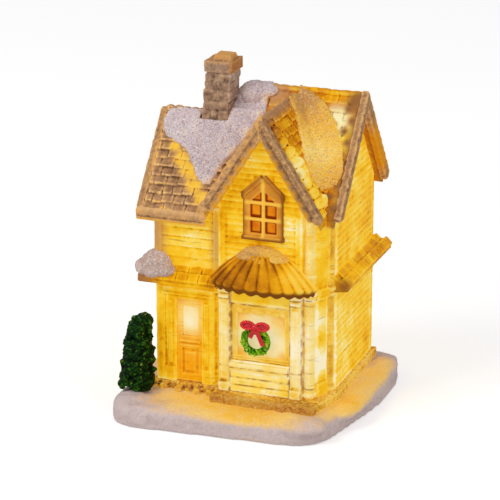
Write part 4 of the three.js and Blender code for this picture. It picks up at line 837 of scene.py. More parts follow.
left_tiles = tile_run((WING_LEFT, WING_FRONT), (-6.1, WING_FRONT), FRONT)
left_tiles += tile_run((WING_LEFT, WING_BACK), (WING_LEFT, WING_FRONT), LEFT)
left_tiles += tile_run((-5.8, WING_BACK), (WING_LEFT, WING_BACK), BACK)
left_tiles = kept(left_tiles, lambda x, y: x < -6.6)
left_gold = gold_tiles("wing_tiles", 0.44, [((-16, -20, 45), 12, 0.1)], [
    ((-28, -19, 44), 6, 0.8, (150, 98, 50)), ((-31, -21.4, 43.4), 5, 1.2, (164, 112, 64)),
])
casting(
    "left_pent_roof", "skirt_roof_left", left_tiles, (0.28, 1, 0.1), [(0.25, 2)], left_gold, "roof_tan",
)
right_tiles = tile_run((MAIN_RIGHT, -10), (MAIN_RIGHT, MAIN_BACK), RIGHT)
right_tiles += tile_run((MAIN_RIGHT, MAIN_BACK), (MAIN_LEFT, MAIN_BACK), BACK)
right_tiles = kept(right_tiles, lambda x, y: y > -9.4 and x > -5)
side_gold = gold_tiles("side_tiles", 0.52, [((32, 4, 45), 14, 0.12)], [
    ((31, -10, 44), 5, 1.0, (150, 92, 30)), ((0, 0, 42.2), 1.4, 0.7, (150, 92, 24), BY_Z),
])
casting(
    "right_pent_roof", "skirt_roof_right", right_tiles, (0.28, 1, 0.1), [(0.25, 2)], side_gold, "roof_tan",
)


# Roofs: a main roof across the house, the lower roof of the wing and the gable
# over the bay, cast with staggered courses of thick shingles.
# The wing's are dry-brushed tan, and the right ones glow orange and cream.
slates = random.Random(3)
SHINGLE_PITCH, SHINGLE_WIDTH, SHINGLE_THICK, SHINGLE_GAP = 2.9, 3.8, 1.4, 0.55
SHORTEST_SHINGLE, SHINGLE_OVERLAP, SHINGLE_LEAN, FIRST_COURSE = 1.2, 1.3, 0.22, 0.42


def shingles(roof, axis, start, stop, side, skip):
    """Loose shingles on one slope. Axis is x or y, the way the ridge runs."""
    low, high = roof["fall"]
    fall = low if side < 0 else high
    eave = roof["low"] if side < 0 else roof["high"]
    run = abs(roof["ridge"] - eave)
    length = run * math.hypot(1, fall)
    slope = math.atan(fall)
    made = []
    for course in range(math.ceil(length / SHINGLE_PITCH)):
        up = (course + FIRST_COURSE) * SHINGLE_PITCH / length
        if up > 0.985:
            continue
        across = eave - side * run * up
        at = start - SHINGLE_WIDTH / (2 if course % 2 else 1)
        while at < stop:
            this = SHINGLE_WIDTH * slates.uniform(0.8, 1.2)
            left, right = max(at, start), min(at + this, stop)
            at += this
            if right - left < SHORTEST_SHINGLE:
                continue
            middle = (left + right) / 2
            z = roof_z(roof, across, 0.15 + slates.uniform(-0.15, 0.25))
            point = (middle, across, z) if axis == "x" else (across, middle, z)
            if skip(*point):
                continue
            lean = SHINGLE_LEAN + slates.uniform(-0.06, 0.08)
            yaw = slates.uniform(-0.035, 0.035)
            wide, tall = right - left - SHINGLE_GAP, SHINGLE_PITCH * SHINGLE_OVERLAP
            if axis == "x":
                turn = (-side * (slope - lean), 0, yaw)
                made.append(block(point, (wide, tall, SHINGLE_THICK), turn))
            else:
                turn = (0, side * (slope - lean), yaw)
                made.append(block(point, (tall, wide, SHINGLE_THICK), turn))
    return made


def below(roof, across, z, lift=0.2):
    """Whether a place is hidden under a roof's plane."""
    return z < roof_z(roof, across, lift)


def wing_hidden(x, y, z):
    return (x > -8 and below(MAIN_ROOF, y, z)) or (x > -10.4 and below(GABLE_ROOF, x, z, 0.8) and y > -23)


def main_hidden(x, y, z):
    under_wing = x < 8 and y < 12 and below(WING_ROOF, y, z, -1)
    return under_wing or (y < 10 and -7 < x < 27 and below(GABLE_ROOF, x, z, -0.5))


def gable_hidden(x, y, z):
    return below(MAIN_ROOF, y, z, 0.6) or (x < 8 and below(WING_ROOF, y, z, -1))


def ridge_rolls(start, step, count, size):
    """Rounded cap tiles laid end to end along a ridge, all a little uneven."""
    rolls = []
    for i in range(count):
        place = [a + b * i for a, b in zip(start, step)]
        place[2] += slates.uniform(-0.12, 0.12)
        rolls.append(lump(place, [value * slates.uniform(0.92, 1.08) for value in size]))
    return rolls


tan_stops = [
    (0.0, (84, 58, 38)), (0.2, (124, 90, 62)), (0.38, (172, 128, 88)),
    (0.5, (196, 150, 106)), (0.64, (238, 180, 80)), (0.8, (250, 208, 92)),
    (1.0, (252, 232, 160)),
]


def roof_paint(
    name, level, spots, depth=0.45, stops=tan_stops, joint=(84, 54, 30), dry=0.35, patches=(),
    deep=0.85, mottle=0.12,
):
    """Dry-brushed shingles: dark joints, pale edges, and gold where light comes through. Painted shade also
    lies in the hollows and in the crevices under the shingles.
    """
    paint = Paint(name)
    field = paint.painted_light_spots(paint.cloudy(3.2, mottle, level), spots)
    field = paint.maths("ADD", field, paint.edges(depth))
    tint = paint.ramp(field, stops)
    # Pale specks of dry-brushed paint.
    rubbed_and_painted_shade = paint.span(paint.noise(0.9, 3.0), 0.58, 0.7, 0, dry)
    tint = paint.mix(rubbed_and_painted_shade, tint, (222, 186, 148))
    tint = paint.mix(paint.span(paint.hollow(), -0.9, -0.35, dry * 2, 0), tint, (232, 194, 150))
    tint = paint.patched(tint, patches)
    # Dark joints and the crevices under the shingles, partly painted shade.
    tint = paint.mix(paint.span(paint.hollow(), 0.25, 1.0, 0, deep), tint, joint)
    paint.lit(tint, paint.span(field, 0.4, 0.68, 0, 1))
    paint.surface(0.7, 0.7, 0.5, 0.25)
    return paint.material


wing_shingles = shingles(WING_ROOF, "x", -30, 8.2, -1, wing_hidden)
wing_shingles += shingles(WING_ROOF, "x", -30, -5.9, 1, wing_hidden)
wing_shingles += ridge_rolls((-29.4, 1.3, 91.4), (2.7, 0, 0), 5, (3.2, 3.0, 2.6))
glowing = [
    ((-24.4, -8.2, 82.5), 3), ((-21.4, -10.4, 79.6), 4), ((-18.2, -12.6, 76.8), 4.4),
    ((-15.4, -15.6, 73), 4.2), ((-12.2, -18, 70), 3.6), ((-9.4, -19.5, 68), 4),
]
wing_tan = roof_paint(
    "wing_roof_tan", 0.47, [(place, reach, 0.4) for place, reach in glowing] + [((-14, 16, 74), 12, 0.3)],
    patches=[(place, reach, 0.75, (250, 196, 52)) for place, reach in glowing],
)
casting("wing_shingles", "wing_roof", wing_shingles, (0.3, 1, 0.1), [(0.25, 1.6)], wing_tan, "roof_tan")

main_shingles = shingles(MAIN_ROOF, "x", -7.2, 26, -1, main_hidden)
main_shingles += shingles(MAIN_ROOF, "x", -7.2, 29.4, 1, main_hidden)
main_shingles += ridge_rolls((-5.5, 10, 98.9), (3.3, 0, 0), 11, (5.2, 3.2, 1.8))
for i in range(20):
    y = 8.6 - 1.25 * i
    place = (27.8 + slates.uniform(-0.5, 0.5), y, roof_z(MAIN_ROOF, y, 0.2))
    size = (slates.uniform(3.2, 4.4), slates.uniform(2.8, 3.8), 1.7)
    main_shingles.append(lump(place, size, (0.85, 0, slates.uniform(-0.4, 0.4))))
for i in range(14):
    y = 8.4 - 1.7 * i
    place = (26.4 + slates.uniform(-0.7, 0.5), y, roof_z(MAIN_ROOF, y, 0.1))
    size = (slates.uniform(2.2, 3.6), slates.uniform(2.2, 3.4), 1.6)
    main_shingles.append(lump(place, size, (0.85, 0, slates.uniform(-0.6, 0.6))))
for i in range(5):
    place = (25.2 + 1.1 * i, -15.6, roof_z(MAIN_ROOF, -15.6, -0.2))
    main_shingles.append(lump(place, (2.6, 2.4, 2.6), (0, 0, slates.uniform(-1, 1))))

glow_stops = [
    (0.0, (128, 66, 8)), (0.2, (196, 118, 16)), (0.36, (232, 152, 12)),
    (0.55, (250, 194, 30)), (0.75, (252, 216, 84)), (1.0, (254, 238, 172)),
]
VERGE_TAUPE = (156, 106, 60)


def glowing_roof(name, spots, patches):
    return roof_paint(name, 0.42, spots, 0.3, glow_stops, (110, 58, 10), 0.1, patches)


verge_patches = [((28, 7.2, 97.3), 5, 1.1, VERGE_TAUPE), ((30.4, 0, 0), 3.4, 1.1, VERGE_TAUPE, BY_X)]
verge_patches += [
    ((27.6 + 0.9 * (-1) ** i, y, roof_z(MAIN_ROOF, y, 0.8)), 2.5, 1.1, VERGE_TAUPE)
    for i, y in enumerate(8 - 2.3 * i for i in range(11))
]
main_glow = glowing_roof(
    "main_roof_gold", [((24, -1, 88), 10, 0.4), ((10, 24, 80), 16, 0.2), ((-2, 24, 78), 10, -0.15)],
    # The cream patch near the right of the front slope is a hot spot of painted lamplight.
    [((2, 8, 97), 9, 0.9, (196, 150, 110)), ((23.4, 3.0, 92.6), 7, 1.2, (253, 244, 190))]
    + verge_patches + [((26.6, -16, 68), 3.2, 1.2, (170, 106, 42))],
)
casting("main_shingles", "main_roof", main_shingles, (0.32, 1, 0.1), [(0.25, 1.6)], main_glow, "roof_tan")

gable_shingles = shingles(GABLE_ROOF, "y", -21, 9.4, -1, gable_hidden)
gable_shingles += shingles(GABLE_ROOF, "y", -16, 9.4, 1, gable_hidden)
gable_shingles += ridge_rolls((GABLE_X, -19.8, 97), (0, 2.9, 0), 10, (2.8, 3.4, 1.7))
for i in range(8):
    x = 11.8 + 1.9 * i
    place = (x, -18 + slates.uniform(-0.5, 0.9), roof_z(GABLE_ROOF, x, 0.6))
    size = (slates.uniform(2.9, 3.7), slates.uniform(5.4, 9.4), slates.uniform(2.4, 3.4))
    lie = (slates.uniform(-0.2, 0.2), 1.0 + slates.uniform(-0.2, 0.2), slates.uniform(-0.35, 0.35))
    gable_shingles.append(lump(place, size, lie))
gable_glow = glowing_roof(
    "gable_roof_gold",
    [
        ((18, -18.5, 82), 11, 0.55), ((25, -18, 72), 7, 0.35),
        ((10.5, -20, 94), 5, -0.3), ((-6, -18, 74), 9, -0.1),
    ],
    [
        ((GABLE_X, 0, 97), 3.4, 1.2, (178, 132, 96), (1, 0, 1)),
        # A brown-gold stripe along the front edge, painted shade beside the barge board.
        ((0, -22.4, 0), 2.6, 1.1, (176, 112, 30), BY_Y),
    ],
)
casting(
    "gable_shingles", "gable_roof", gable_shingles, (0.32, 1, 0.1), [(0.35, 1.6)], gable_glow, "roof_tan",
)


# Edges of the roofs: the front gable's two barge boards with a ragged outer rim
# and a golden inner moulding, the rakes of the other ends, the wing's fascia.
# Cast with the roofs and painted taupe, with an orange rim where light leaks.
rims = random.Random(14)
barge_stops = [
    (0.0, (74, 54, 40)), (0.25, (124, 92, 64)), (0.45, (170, 128, 88)),
    (0.62, (208, 158, 104)), (0.8, (240, 172, 56)), (1.0, (252, 214, 120)),
]
BARGE_LUMPS, RAKE_BLOCKS = 11, 12
BARGE_Y, BARGE_REACH = -22.6, 18.6
fall = GABLE_ROOF["fall"][0]
gable_slope = math.atan(fall)
slope_long = BARGE_REACH * math.hypot(1, fall)


def edge_paint(name, level, **more):
    return roof_paint(name, level, [], 0.3, barge_stops, **more)


for side, node, level in ((-1, "barge_left", 0.59), (1, "barge_right", 0.47)):
    parts = []
    long = slope_long / BARGE_LUMPS * 1.25
    lie = (0, side * gable_slope, 0)
    for i in range(BARGE_LUMPS):
        up = (i + 0.5) / BARGE_LUMPS
        x = GABLE_X + side * BARGE_REACH * (1 - up)
        z = roof_z(GABLE_ROOF, x, 0.35)
        place = (x, BARGE_Y + rims.uniform(-0.15, 0.15), z)
        parts.append(lump(place, (long, 3.4, 2.2), (rims.uniform(-0.1, 0.1), side * gable_slope, 0)))
        parts.append(block((x, BARGE_Y, z), (long, 2.8, 1.6), lie))
    low_x = GABLE_X + side * 8.6
    parts.append(block((low_x, -23.2, roof_z(GABLE_ROOF, low_x, -2.5)), (slope_long * 0.76, 1.0, 0.8), lie))
    parts.append(lump((GABLE_X + side * 18.0, -23.0, 68.9), (3.2, 3.2, 3.2)))
    leaks = [GABLE_X + side * (2.4 + 1.9 * i) for i in range(8)]
    paint = edge_paint(
        "taupe_" + node, level, dry=0.1, deep=0.6, mottle=0.05,
        patches=[((x, -23.4, roof_z(GABLE_ROOF, x, -3.0)), 2.5, 1.2, (222, 154, 40)) for x in leaks],
    )
    casting("carved_" + node, node, parts, (0.3, 2, 0.05), [(0.4, 1.4)], paint, "barge_brown")


def rake(name, node, roof, x, size_of_dents, paint):
    """Lumpy edge along both slopes at the open end of a roof."""
    parts = []
    for side, fall in zip((-1, 1), roof["fall"]):
        end = roof["low"] if side < 0 else roof["high"]
        run = abs(end - roof["ridge"])
        size = (2.1, run * math.hypot(1, fall) / RAKE_BLOCKS * 0.95, 1.8)
        for i in range(RAKE_BLOCKS):
            y = end - side * run * (i + 0.5) / RAKE_BLOCKS
            lie = (-side * math.atan(fall) + rims.uniform(-0.06, 0.06), rims.uniform(-0.1, 0.1), 0)
            parts.append(block((x, y, roof_z(roof, y, 0.2)), size, lie))
    casting(name, node, parts, (0.33, 3, 0.05), [(0.5, size_of_dents)], paint, "barge_brown")


# The orange patch is painted lamplight leaking through the back of the right rake.
rake_brown = edge_paint(
    "rake_mauve", 0.5, dry=0.15, deep=0.5, mottle=0.06, patches=[((30.5, 24, 80), 18, 1.6, (226, 150, 26))],
)
rake("right_rake", "rake_right", MAIN_ROOF, 30.5, 1.6, rake_brown)
rake_tan = edge_paint("rake_tan", 0.52, dry=0.12, deep=0.5, mottle=0.08)
rake("left_rake", "rake_left", WING_ROOF, -31, 1.4, rake_tan)
gutter = [block((-20.6, -21.5, 62.9), (22.4, 1.3, 0.9))]
for i in range(17):
    gutter.append(lump((-30.1 + 1.2 * i, -21.9, 65.2 + rims.uniform(-0.1, 0.1)), (3.6, 2.5, 2.6)))
fascia_paint = edge_paint(
    "fascia_tan", 0.6, dry=0.1, deep=0.8, mottle=0.08,
    patches=[
        # A pale band of painted highlight along the top of the gutter, and a yellow band at its foot.
        ((0, 0, 66.6), 1.3, 0.7, (232, 186, 128), BY_Z), ((0, 0, 62.6), 1.2, 0.8, (230, 164, 52), BY_Z),
    ],
)
casting(
    "wing_fascia_board", "wing_fascia", gutter, (0.3, 2, 0.05), [(0.3, 1.4)], fascia_paint, "barge_brown",
)


# Awning: half a fluted shell over the shop window, with twelve ribs and a thick
# rim, and a mound of snow on its top. Cast with the bay, washed gold and brown.
RIBS, RIB_LUMPS = 12, 24
AWNING_WIDE, AWNING_DEEP, AWNING_RIM, AWNING_RISE = 15.8, 6.1, 46.0, 10.4
awning_ribs = []
for i in range(RIBS):
    angle = math.pi * (i + 0.5) / RIBS
    wide = math.hypot(AWNING_WIDE * math.sin(angle), AWNING_DEEP * math.cos(angle)) * math.pi / RIBS
    lie = math.atan2(AWNING_DEEP * math.cos(angle), -AWNING_WIDE * math.sin(angle))
    for step in range(RIB_LUMPS):
        t = 0.12 + 0.88 * step / (RIB_LUMPS - 1)
        x = GABLE_X - AWNING_WIDE * t * math.cos(angle)
        y = BAY_FRONT - AWNING_DEEP * t * math.sin(angle)
        z = AWNING_RIM + AWNING_RISE * (1 - t ** 1.7)
        if y < BAY_FRONT - 0.1:
            awning_ribs.append(lump((x, y, z), (wide * t * 0.92 + 0.2, 3.4, 2.2), (0, 0, lie)))
    x = GABLE_X - (AWNING_WIDE + 0.1) * math.cos(angle)
    y = BAY_FRONT - (AWNING_DEEP + 0.1) * math.sin(angle)
    awning_ribs.append(lump((x, y, 44.9), (wide * 0.92, 1.3, 3.0), (0, 0, lie)))
awning_stops = [
    (0.0, (86, 40, 8)), (0.22, (146, 82, 12)), (0.4, (206, 130, 10)),
    (0.6, (244, 178, 20)), (0.85, (251, 208, 80)), (1.0, (254, 232, 150)),
]
awning_paint = wall_paint(
    "awning_gold", 0.4, [((22, -22, 48), 12, 0.4), ((-4, -22, 48), 9, -0.12)], 0.2, awning_stops,
    scratches=(60, 60, 60), brown=(92, 48, 10), joints=0.95,
    patches=[((0, 0, 44.4), 2.2, 1.1, (120, 68, 16), BY_Z)],
)
casting("fluted_awning", "awning", awning_ribs, (0.27, 3, 0.05), [(0.12, 1.4)], awning_paint, "trim_glow")
# Snow turned gold by painted lamplight from inside.
gold_snow_stops = [
    (0.0, (150, 112, 84)), (0.3, (200, 150, 90)), (0.55, (234, 174, 62)),
    (0.8, (246, 200, 84)), (1.0, (252, 228, 146)),
]
awning_snow_paint = snow_paint(
    "awning_snow_gold", gold_snow_stops, [((13, -22, 54), 8, 0.3)], 0.4, 0.4, glint=(255, 216, 120),
)
mound = [lump((8.5, -21.2, 56.3), (12, 3.8, 3.2))]
mound += [lump((x, -21.4, 54.4), (7, 3.8, 2.6)) for x in (4, 13)]
casting(
    "awning_snow_mound", "awning_snow", mound, (0.35, 2, 0.1), [(0.5, 1.2), (0.35, 0.5)],
    awning_snow_paint, "snow_gold",
)


# Chimney: a stack of rounded field stones with dark joints, on a flared foot, and
# a capping of larger stones with a squat pot. Cast solid and dry-brushed.
# The pot and the sides of the top catch orange light.
masonry = random.Random(6)
CHIMNEY_X, CHIMNEY_Y = -12.6, 2.6
CHIMNEY_FOOT, CHIMNEY_TOP, MORTAR = 78, 105, 0.35
chimney_stops = [
    (0.0, (66, 46, 36)), (0.22, (104, 80, 64)), (0.42, (152, 122, 100)),
    (0.62, (180, 146, 118)), (0.8, (206, 166, 128)), (1.0, (236, 196, 150)),
]


def stonework(z0, z1, half_x, half_y, tall, wide, lean=0.0, flare=0.0):
    """Courses of irregular flat-faced stones round a square stack that leans a little."""
    made = []
    z = z0
    while z < z1 - 0.8:
        high = min(tall * masonry.uniform(0.75, 1.2), z1 - z + 0.3)
        up = (z + high / 2 - CHIMNEY_FOOT) / (CHIMNEY_TOP - CHIMNEY_FOOT)
        middle = CHIMNEY_X - lean * (1 - up)
        grown = flare * max(0, 0.6 - up)
        for face in range(4):
            half, depth = (half_x, half_y) if face % 2 == 0 else (half_y, half_x)
            half, depth = half + grown, depth + grown
            at = -half + masonry.uniform(-0.4, 0)
            while at < half - 0.7:
                long = min(wide * masonry.uniform(0.65, 1.4), half - at + 0.3)
                s = at + long / 2
                out = depth - 0.55 + masonry.uniform(-0.15, 0.15)
                spot = [(s, -out), (out, s), (-s, out), (-out, -s)][face]
                long_gap, high_gap = long - MORTAR, high - MORTAR
                size = (long_gap, 1.6, high_gap) if face % 2 == 0 else (1.6, long_gap, high_gap)
                tilt = [masonry.uniform(-0.08, 0.08) for _ in range(3)]
                made.append(block((middle + spot[0], CHIMNEY_Y + spot[1], z + high / 2), size, tilt))
                at += long
        z += high
    return made


chimney_paint = stone_paint(
    "chimney_stone", chimney_stops, [], 0.56, 0.45, grit=0.12, mottle=0.2, mortar=0.95,
    patches=[((-8.2, 0, 0), 1.8, 0.55, (190, 170, 160), BY_X)],
)
stack_stones = stonework(86, CHIMNEY_TOP, 3.9, 4.4, 3.2, 3.4, 2.5, 1.0)
casting(
    "chimney_stonework", "chimney_stack", stack_stones, (0.28, 2), [(0.3, 1.4)],
    chimney_paint, "chimney_stone",
)
cap_paint = stone_paint(
    "chimney_cap_stone", chimney_stops, [], 0.58, 0.4, grit=0.12, mortar=0.9,
    patches=[
        ((0, 0, 110.4), 3.4, 1.3, (216, 158, 92), BY_Z), ((-7.6, 0, 0), 2.2, 0.8, (190, 122, 52), BY_X),
    ],
)
cap_stones = stonework(105.2, 108, 3.9, 4.7, 3.0, 3.4)
cap_stones += [lump((-9.2, 2.6, 107.2), (2.2, 4.5, 2.4))]
casting("chimney_capping", "chimney_cap", cap_stones, (0.28, 2), [(0.3, 1.2)], cap_paint, "chimney_stone")


# Snow on the roofs: one thick patch that lies over the wing and the main ridge,
# one in the right valley, and a heap on the corner of the pent roof.
# Resin snow with fine glitter, cold lavender outside and gold over the light.
drift = [
    lump((-1.2, 8.2, 98.3), (8.5, 6, 4.2)),
    lump((-7.4, 6.0, 95.4), (5, 5, 6)), lump((-8.2, 4.6, 92.4), (5, 5, 6)),
]
cold_snow = snow_paint("roof_snow_lavender", [
    (0.0, (156, 134, 136)), (0.22, (206, 191, 198)), (0.4, (222, 207, 206)),
    (0.65, (240, 204, 150)), (0.85, (250, 210, 110)), (1.0, (254, 230, 160)),
], [
    ((-11, -15, 73), 4.5, 0.35), ((-7.4, -12.6, 77.6), 3.6, 0.35), ((-5, -8.6, 82.4), 3.6, 0.35),
    ((-2.6, -4.4, 87.4), 3.6, 0.35), ((0, 0.4, 91.6), 3.6, 0.35), ((1, 5.5, 96), 3.6, 0.3),
], 0.26, 0.6)
casting(
    "roof_snow_patch", "roof_snow", drift, (0.33, 4, 0.12), [(0.8, 3.4), (0.5, 0.6)], cold_snow, "snow_white",
)
# Gold patches of painted lamplight along the thin edges of the valley snow.
valley_edges = [
    (12.8, -2.0, 92.6), (14.8, -4.8, 89.6), (16.6, -7.5, 86.6), (18.2, -9.2, 84), (19.8, -10.4, 81.5),
    (22.3, -10.2, 77.7), (18.1, 5.6, 95.5), (20.2, 4.4, 94), (22.2, 2.9, 92.2), (24.4, 1, 90),
    (26.4, -1.1, 87.4), (27.8, -3.2, 85), (28.7, -5.1, 82.5),
]
valley_paint = snow_paint(
    "valley_snow_gold", gold_snow_stops, [((19, -6, 84), 17, 0.5)], 0.46, 0.5, glint=(255, 222, 130),
    patches=[(place, 2.6, 0.75, (250, 200, 60)) for place in valley_edges]
    + [((12.4, 6, 98.6), 5.6, 1.2, (196, 142, 84))],
)
casting(
    "valley_snow_patch", "valley_snow", [], (0.33, 2, 0.1), [(1.0, 1.8), (0.6, 0.6)],
    valley_paint, "snow_gold",
)
heap = [
    lump((-29.9, -20, 47), (6.4, 6.4, 5)), lump((-23.4, -20.6, 46.8), (6.6, 5.6, 4.6)),
    lump((-27, -19.6, 49), (8, 6, 5)), lump((-27, -20.8, 46), (6.4, 5.8, 4.2)),
]
heap_paint = snow_paint("heap_snow", [
    (0.0, (150, 126, 120)), (0.3, (188, 164, 154)), (0.5, (204, 184, 178)), (1.0, (240, 214, 190)),
], [], 0.36, 0.5)
casting(
    "pent_roof_snow_heap", "skirt_snow", heap, (0.33, 3, 0.1), [(0.6, 2.2), (0.35, 0.5)],
    heap_paint, "snow_white",
)


# Bush: a leaning evergreen at the front left corner, a mass of small rounded sprays over solid lumps. Cast
# solid, painted dark green, with painted highlights on the edges and painted shade in the hollows.
sprays = random.Random(21)
leaves = []
BUSH_X, BUSH_Y, BUSH_FOOT, BUSH_TALL, SPRAYS = -32.6, -22.4, 8.4, 22.6, 170
for i in range(SPRAYS):
    t = sprays.random()
    turn = sprays.uniform(0, math.tau)
    out = (1 - 0.42 * t) * sprays.uniform(4.4, 5.3)
    if t > 0.9:
        out *= 0.7
    x = BUSH_X + 2 * t + out * math.cos(turn)
    y = BUSH_Y + out * math.sin(turn)
    z = BUSH_FOOT + BUSH_TALL * t
    in_wall = x > -27.6 and y > -19.2
    if in_wall or x < -37.6 or y < -27.8:
        continue
    leaves.append(lump(
        (x, y, z), (sprays.uniform(1.7, 3.0), sprays.uniform(1.7, 3.0), sprays.uniform(1.3, 2.3)),
        (sprays.uniform(-0.6, 0.6), sprays.uniform(-0.6, 0.6), turn),
    ))


def green_paint(name, stops, level, glint, share):
    paint = Paint(name)
    # Painted shade in the hollows and painted highlights on the edges, with a few bright glints.
    tint = paint.ramp(paint.maths("ADD", paint.cloudy(2.2, 0.18, level), paint.edges(0.4)), stops)
    tint = paint.mix(paint.span(paint.grains(0.6)[0], 1 - share, 1.02 - share, 0, 0.9), tint, glint)
    paint.shader({"Base Color": tint})
    paint.surface(0.5, 0.8, 0.5, 0.3)
    return paint.material


bush_green = green_paint("bush_green", [
    (0.0, (4, 14, 2)), (0.3, (10, 34, 5)), (0.5, (20, 58, 8)),
    (0.7, (62, 108, 20)), (1.0, (168, 176, 60)),
], 0.37, (150, 160, 50), 0.02)
casting("evergreen_bush", "bush", leaves, (0.33, 1), [(0.7, 1.2), (0.5, 0.5)], bush_green, "foliage")


# Wreath and bow: a ring of small leaves on the shop window, and over its top a
# red ribbon bow with two loops, a knot and two tails.
# Cast with the pane and painted in bright green and glossy red.
WREATH_X, WREATH_Y, WREATH_Z = 6, -19.75, 26.95
RING_LEAVES, LOOP_LUMPS = 72, 14
ring_leaves = []
for i in range(RING_LEAVES):
    turn = math.tau * i / RING_LEAVES + sprays.uniform(-0.06, 0.06)
    out = 3.55 + sprays.uniform(-0.85, 0.85)
    x, z = WREATH_X + out * math.cos(turn), WREATH_Z + out * math.sin(turn)
    ring_leaves.append(lump(
        (x, WREATH_Y - sprays.uniform(0.5, 1.3), z),
        (sprays.uniform(1.3, 1.9), 0.9, sprays.uniform(0.55, 0.8)), (0, sprays.uniform(-3, 3), 0),
    ))
wreath_green = green_paint("wreath_green", [
    (0.0, (8, 30, 4)), (0.3, (26, 80, 8)), (0.5, (98, 164, 16)),
    (0.7, (186, 216, 50)), (1.0, (236, 242, 130)),
], 0.54, (240, 236, 150), 0.03)
casting("leafy_wreath", "wreath", ring_leaves, (0.15, 1), [], wreath_green, "wreath_green")

BOW_X, BOW_Y, BOW_Z = 6.4, -21.7, 32.1
ribbon = [lump((BOW_X, BOW_Y - 0.35, BOW_Z), (1.7, 1.3, 1.8))]
for side in (-1, 1):
    for i in range(LOOP_LUMPS):
        turn = math.tau * i / LOOP_LUMPS
        ribbon.append(lump(
            (BOW_X + side * (2.35 + 1.9 * math.cos(turn)), BOW_Y, BOW_Z + 0.4 + 1.15 * math.sin(turn)),
            (1.2, 1.3, 0.8), (0, -side * 0.2, 0),
        ))
    ribbon.append(lump((BOW_X + side * 2.3, BOW_Y + 0.35, BOW_Z + 0.4), (3.6, 0.6, 2.0)))
    for i in range(7 if side > 0 else 4):
        ribbon.append(block(
            (BOW_X + side * (0.4 + 0.32 * i), BOW_Y + 0.1, BOW_Z - 0.9 - 0.72 * i), (1.25, 0.6, 1.1),
            (0, -side * 0.4, 0),
        ))
bow = cast("ribbon_bow", ribbon, 0.15, 5, 0.05)
bow_paint = Paint("bow_red", 0.5)
# Painted shade in the hollows of the loops and painted pink highlights on their edges.
bow_field = bow_paint.span(bow_paint.noise(1.5), 0.3, 0.7, 0.22, 0.48)
bow_field = bow_paint.maths("ADD", bow_paint.edges(0.45), bow_field)
bow_tint = bow_paint.ramp(bow_field, [
    (0.0, (150, 8, 16)), (0.4, (222, 22, 34)), (0.65, (240, 70, 76)), (0.85, (252, 180, 172)),
])
bow_paint.shader({"Base Color": bow_tint})
bow_paint.surface(0.25, 0.15, 0.6, 0.1)
finished(bow, bow_paint.material, "bow_red", "wreath_bow")


# Light unit: a moulded cream cup with its lid, battery door, switch and screw,
# and inside it the board, lamp, resistor, contacts and three button cells.
# It pushes up into the base, and its parts are the CAD's own.
def moulded(name, tint, darker, rough, grain=0.25, metal=0.0):
    paint = Paint(name, 0.5)
    mottled = paint.span(paint.noise(3, 3.0), 0.3, 0.7, 0, 1)
    paint.shader({"Base Color": paint.mix(mottled, tint, darker), "Metallic": metal})
    paint.surface(rough, grain, 0.35, 0.06)
    return paint.material


cream_plastic = moulded("cream_plastic", (232, 228, 216), (222, 216, 200), 0.45)
board_green = moulded("board_lacquer", (36, 98, 52), (28, 80, 44), 0.35)
plated_steel = moulded("plated_steel", (196, 198, 202), (170, 172, 178), 0.28, 0.15, 1.0)
black_plastic = moulded("switch_plastic", (32, 33, 36), (22, 22, 24), 0.4)
lacquer_tan = moulded("resistor_lacquer", (200, 180, 138), (184, 160, 116), 0.4)
lens = Paint("lamp_lens", 0.5)
lens_tint = lens.ramp(lens.noise(2), [(0.0, (255, 240, 200)), (1.0, (255, 226, 150))])
lens.shader({"Base Color": lens_tint, "Emission Color": lens_tint, "Emission Strength": 1.0})
lens.surface(0.15, 0.05, 0.5, 0.03)
unit_finishes = [
    (cream_plastic, "housing_cup housing_lid battery_door"),
    (plated_steel, "button_cell_1 button_cell_2 button_cell_3 contact_upper contact_lower door_screw"),
    (board_green, "circuit_board"), (lens.material, "led"), (lacquer_tan, "resistor"),
    (black_plastic, "switch_case switch_slider"),
]
for material, nodes in unit_finishes:
    for node in nodes.split():
        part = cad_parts[node]
        part.data.materials.clear()
        part.data.materials.append(material)


# Studio: a white table that fades into a white background, soft daylight from
# all round, one broad lamp at the front left and a weaker one at the right.
scene = bpy.context.scene
scene.view_settings.view_transform = "Standard"
world = bpy.data.worlds.new("white_studio")
scene.world = world
world.use_nodes = True
sky = world.node_tree
rays = sky.nodes.new("ShaderNodeLightPath").outputs


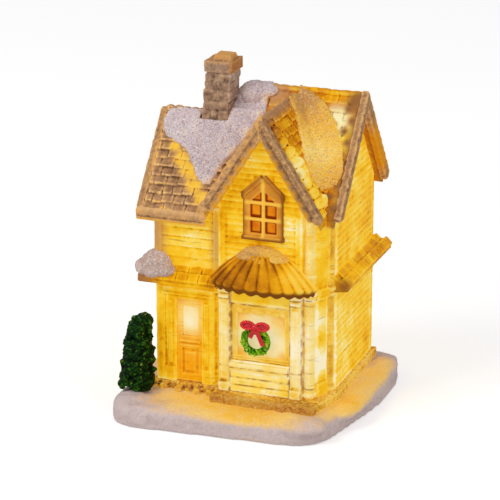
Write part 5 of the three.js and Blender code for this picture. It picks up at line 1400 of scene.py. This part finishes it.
def either(first, second):
    made = sky.nodes.new("ShaderNodeMath")
    made.operation = "MAXIMUM"
    return wired(sky, made, {0: first, 1: second}).outputs["Value"]


seen = either(rays["Is Camera Ray"], either(rays["Is Glossy Ray"], rays["Is Transmission Ray"]))
brightness = wired(sky, sky.nodes.new("ShaderNodeMapRange"), {"Value": seen, "To Min": 0.5, "To Max": 1.0})
wired(sky, sky.nodes["Background"], {"Color": (1, 1, 1, 1), "Strength": brightness.outputs["Result"]})

bpy.ops.mesh.primitive_plane_add(size=3, location=(0, 0, -0.0002))
table = bpy.context.object
table.name = "table"
table_paint = Paint("white_table")
table_rays = table_paint.node("ShaderNodeLightPath", {}).outputs
table_paint.shader({
    "Base Color": (0.86, 0.86, 0.86, 1), "Roughness": 0.9, "Emission Color": (1, 1, 1, 1),
    "Emission Strength": table_paint.maths("MULTIPLY", table_rays["Is Camera Ray"], 0.42),
})
table.data.materials.append(table_paint.material)


LAMP_AIM, LAMP_SIZE = Vector((0, 0, 0.05)), 0.5
for name, place, power in (
    ("front_left_lamp", (-0.5, -0.7, 0.7), 4.2), ("right_lamp", (0.7, -0.4, 0.5), 1.6),
):
    bpy.ops.object.light_add(type="AREA", location=place)
    lamp = bpy.context.object
    lamp.name = name
    lamp.data.energy = power
    lamp.data.size = LAMP_SIZE
    lamp.rotation_euler = (LAMP_AIM - Vector(place)).to_track_quat("-Z", "Y").to_euler()

CAMERA_AWAY, SIDE_SHIFT = 0.7339, 1.83 * MM
turn, tip = math.radians(20), math.radians(18.8)
back = Vector((math.sin(turn) * math.cos(tip), -math.cos(turn) * math.cos(tip), math.sin(tip)))
across = Vector((math.cos(turn), math.sin(turn), 0))
upward = back.cross(across)
target = Vector((1.8, -8, 50)) * MM - across * SIDE_SHIFT + upward * SIDE_SHIFT
bpy.ops.object.camera_add(location=target + back * CAMERA_AWAY)
camera = bpy.context.object
camera.data.lens = 172.8
camera.data.sensor_width = 36
camera.data.clip_start = 0.01
camera.rotation_euler = back.to_track_quat("Z", "Y").to_euler()
scene.camera = camera
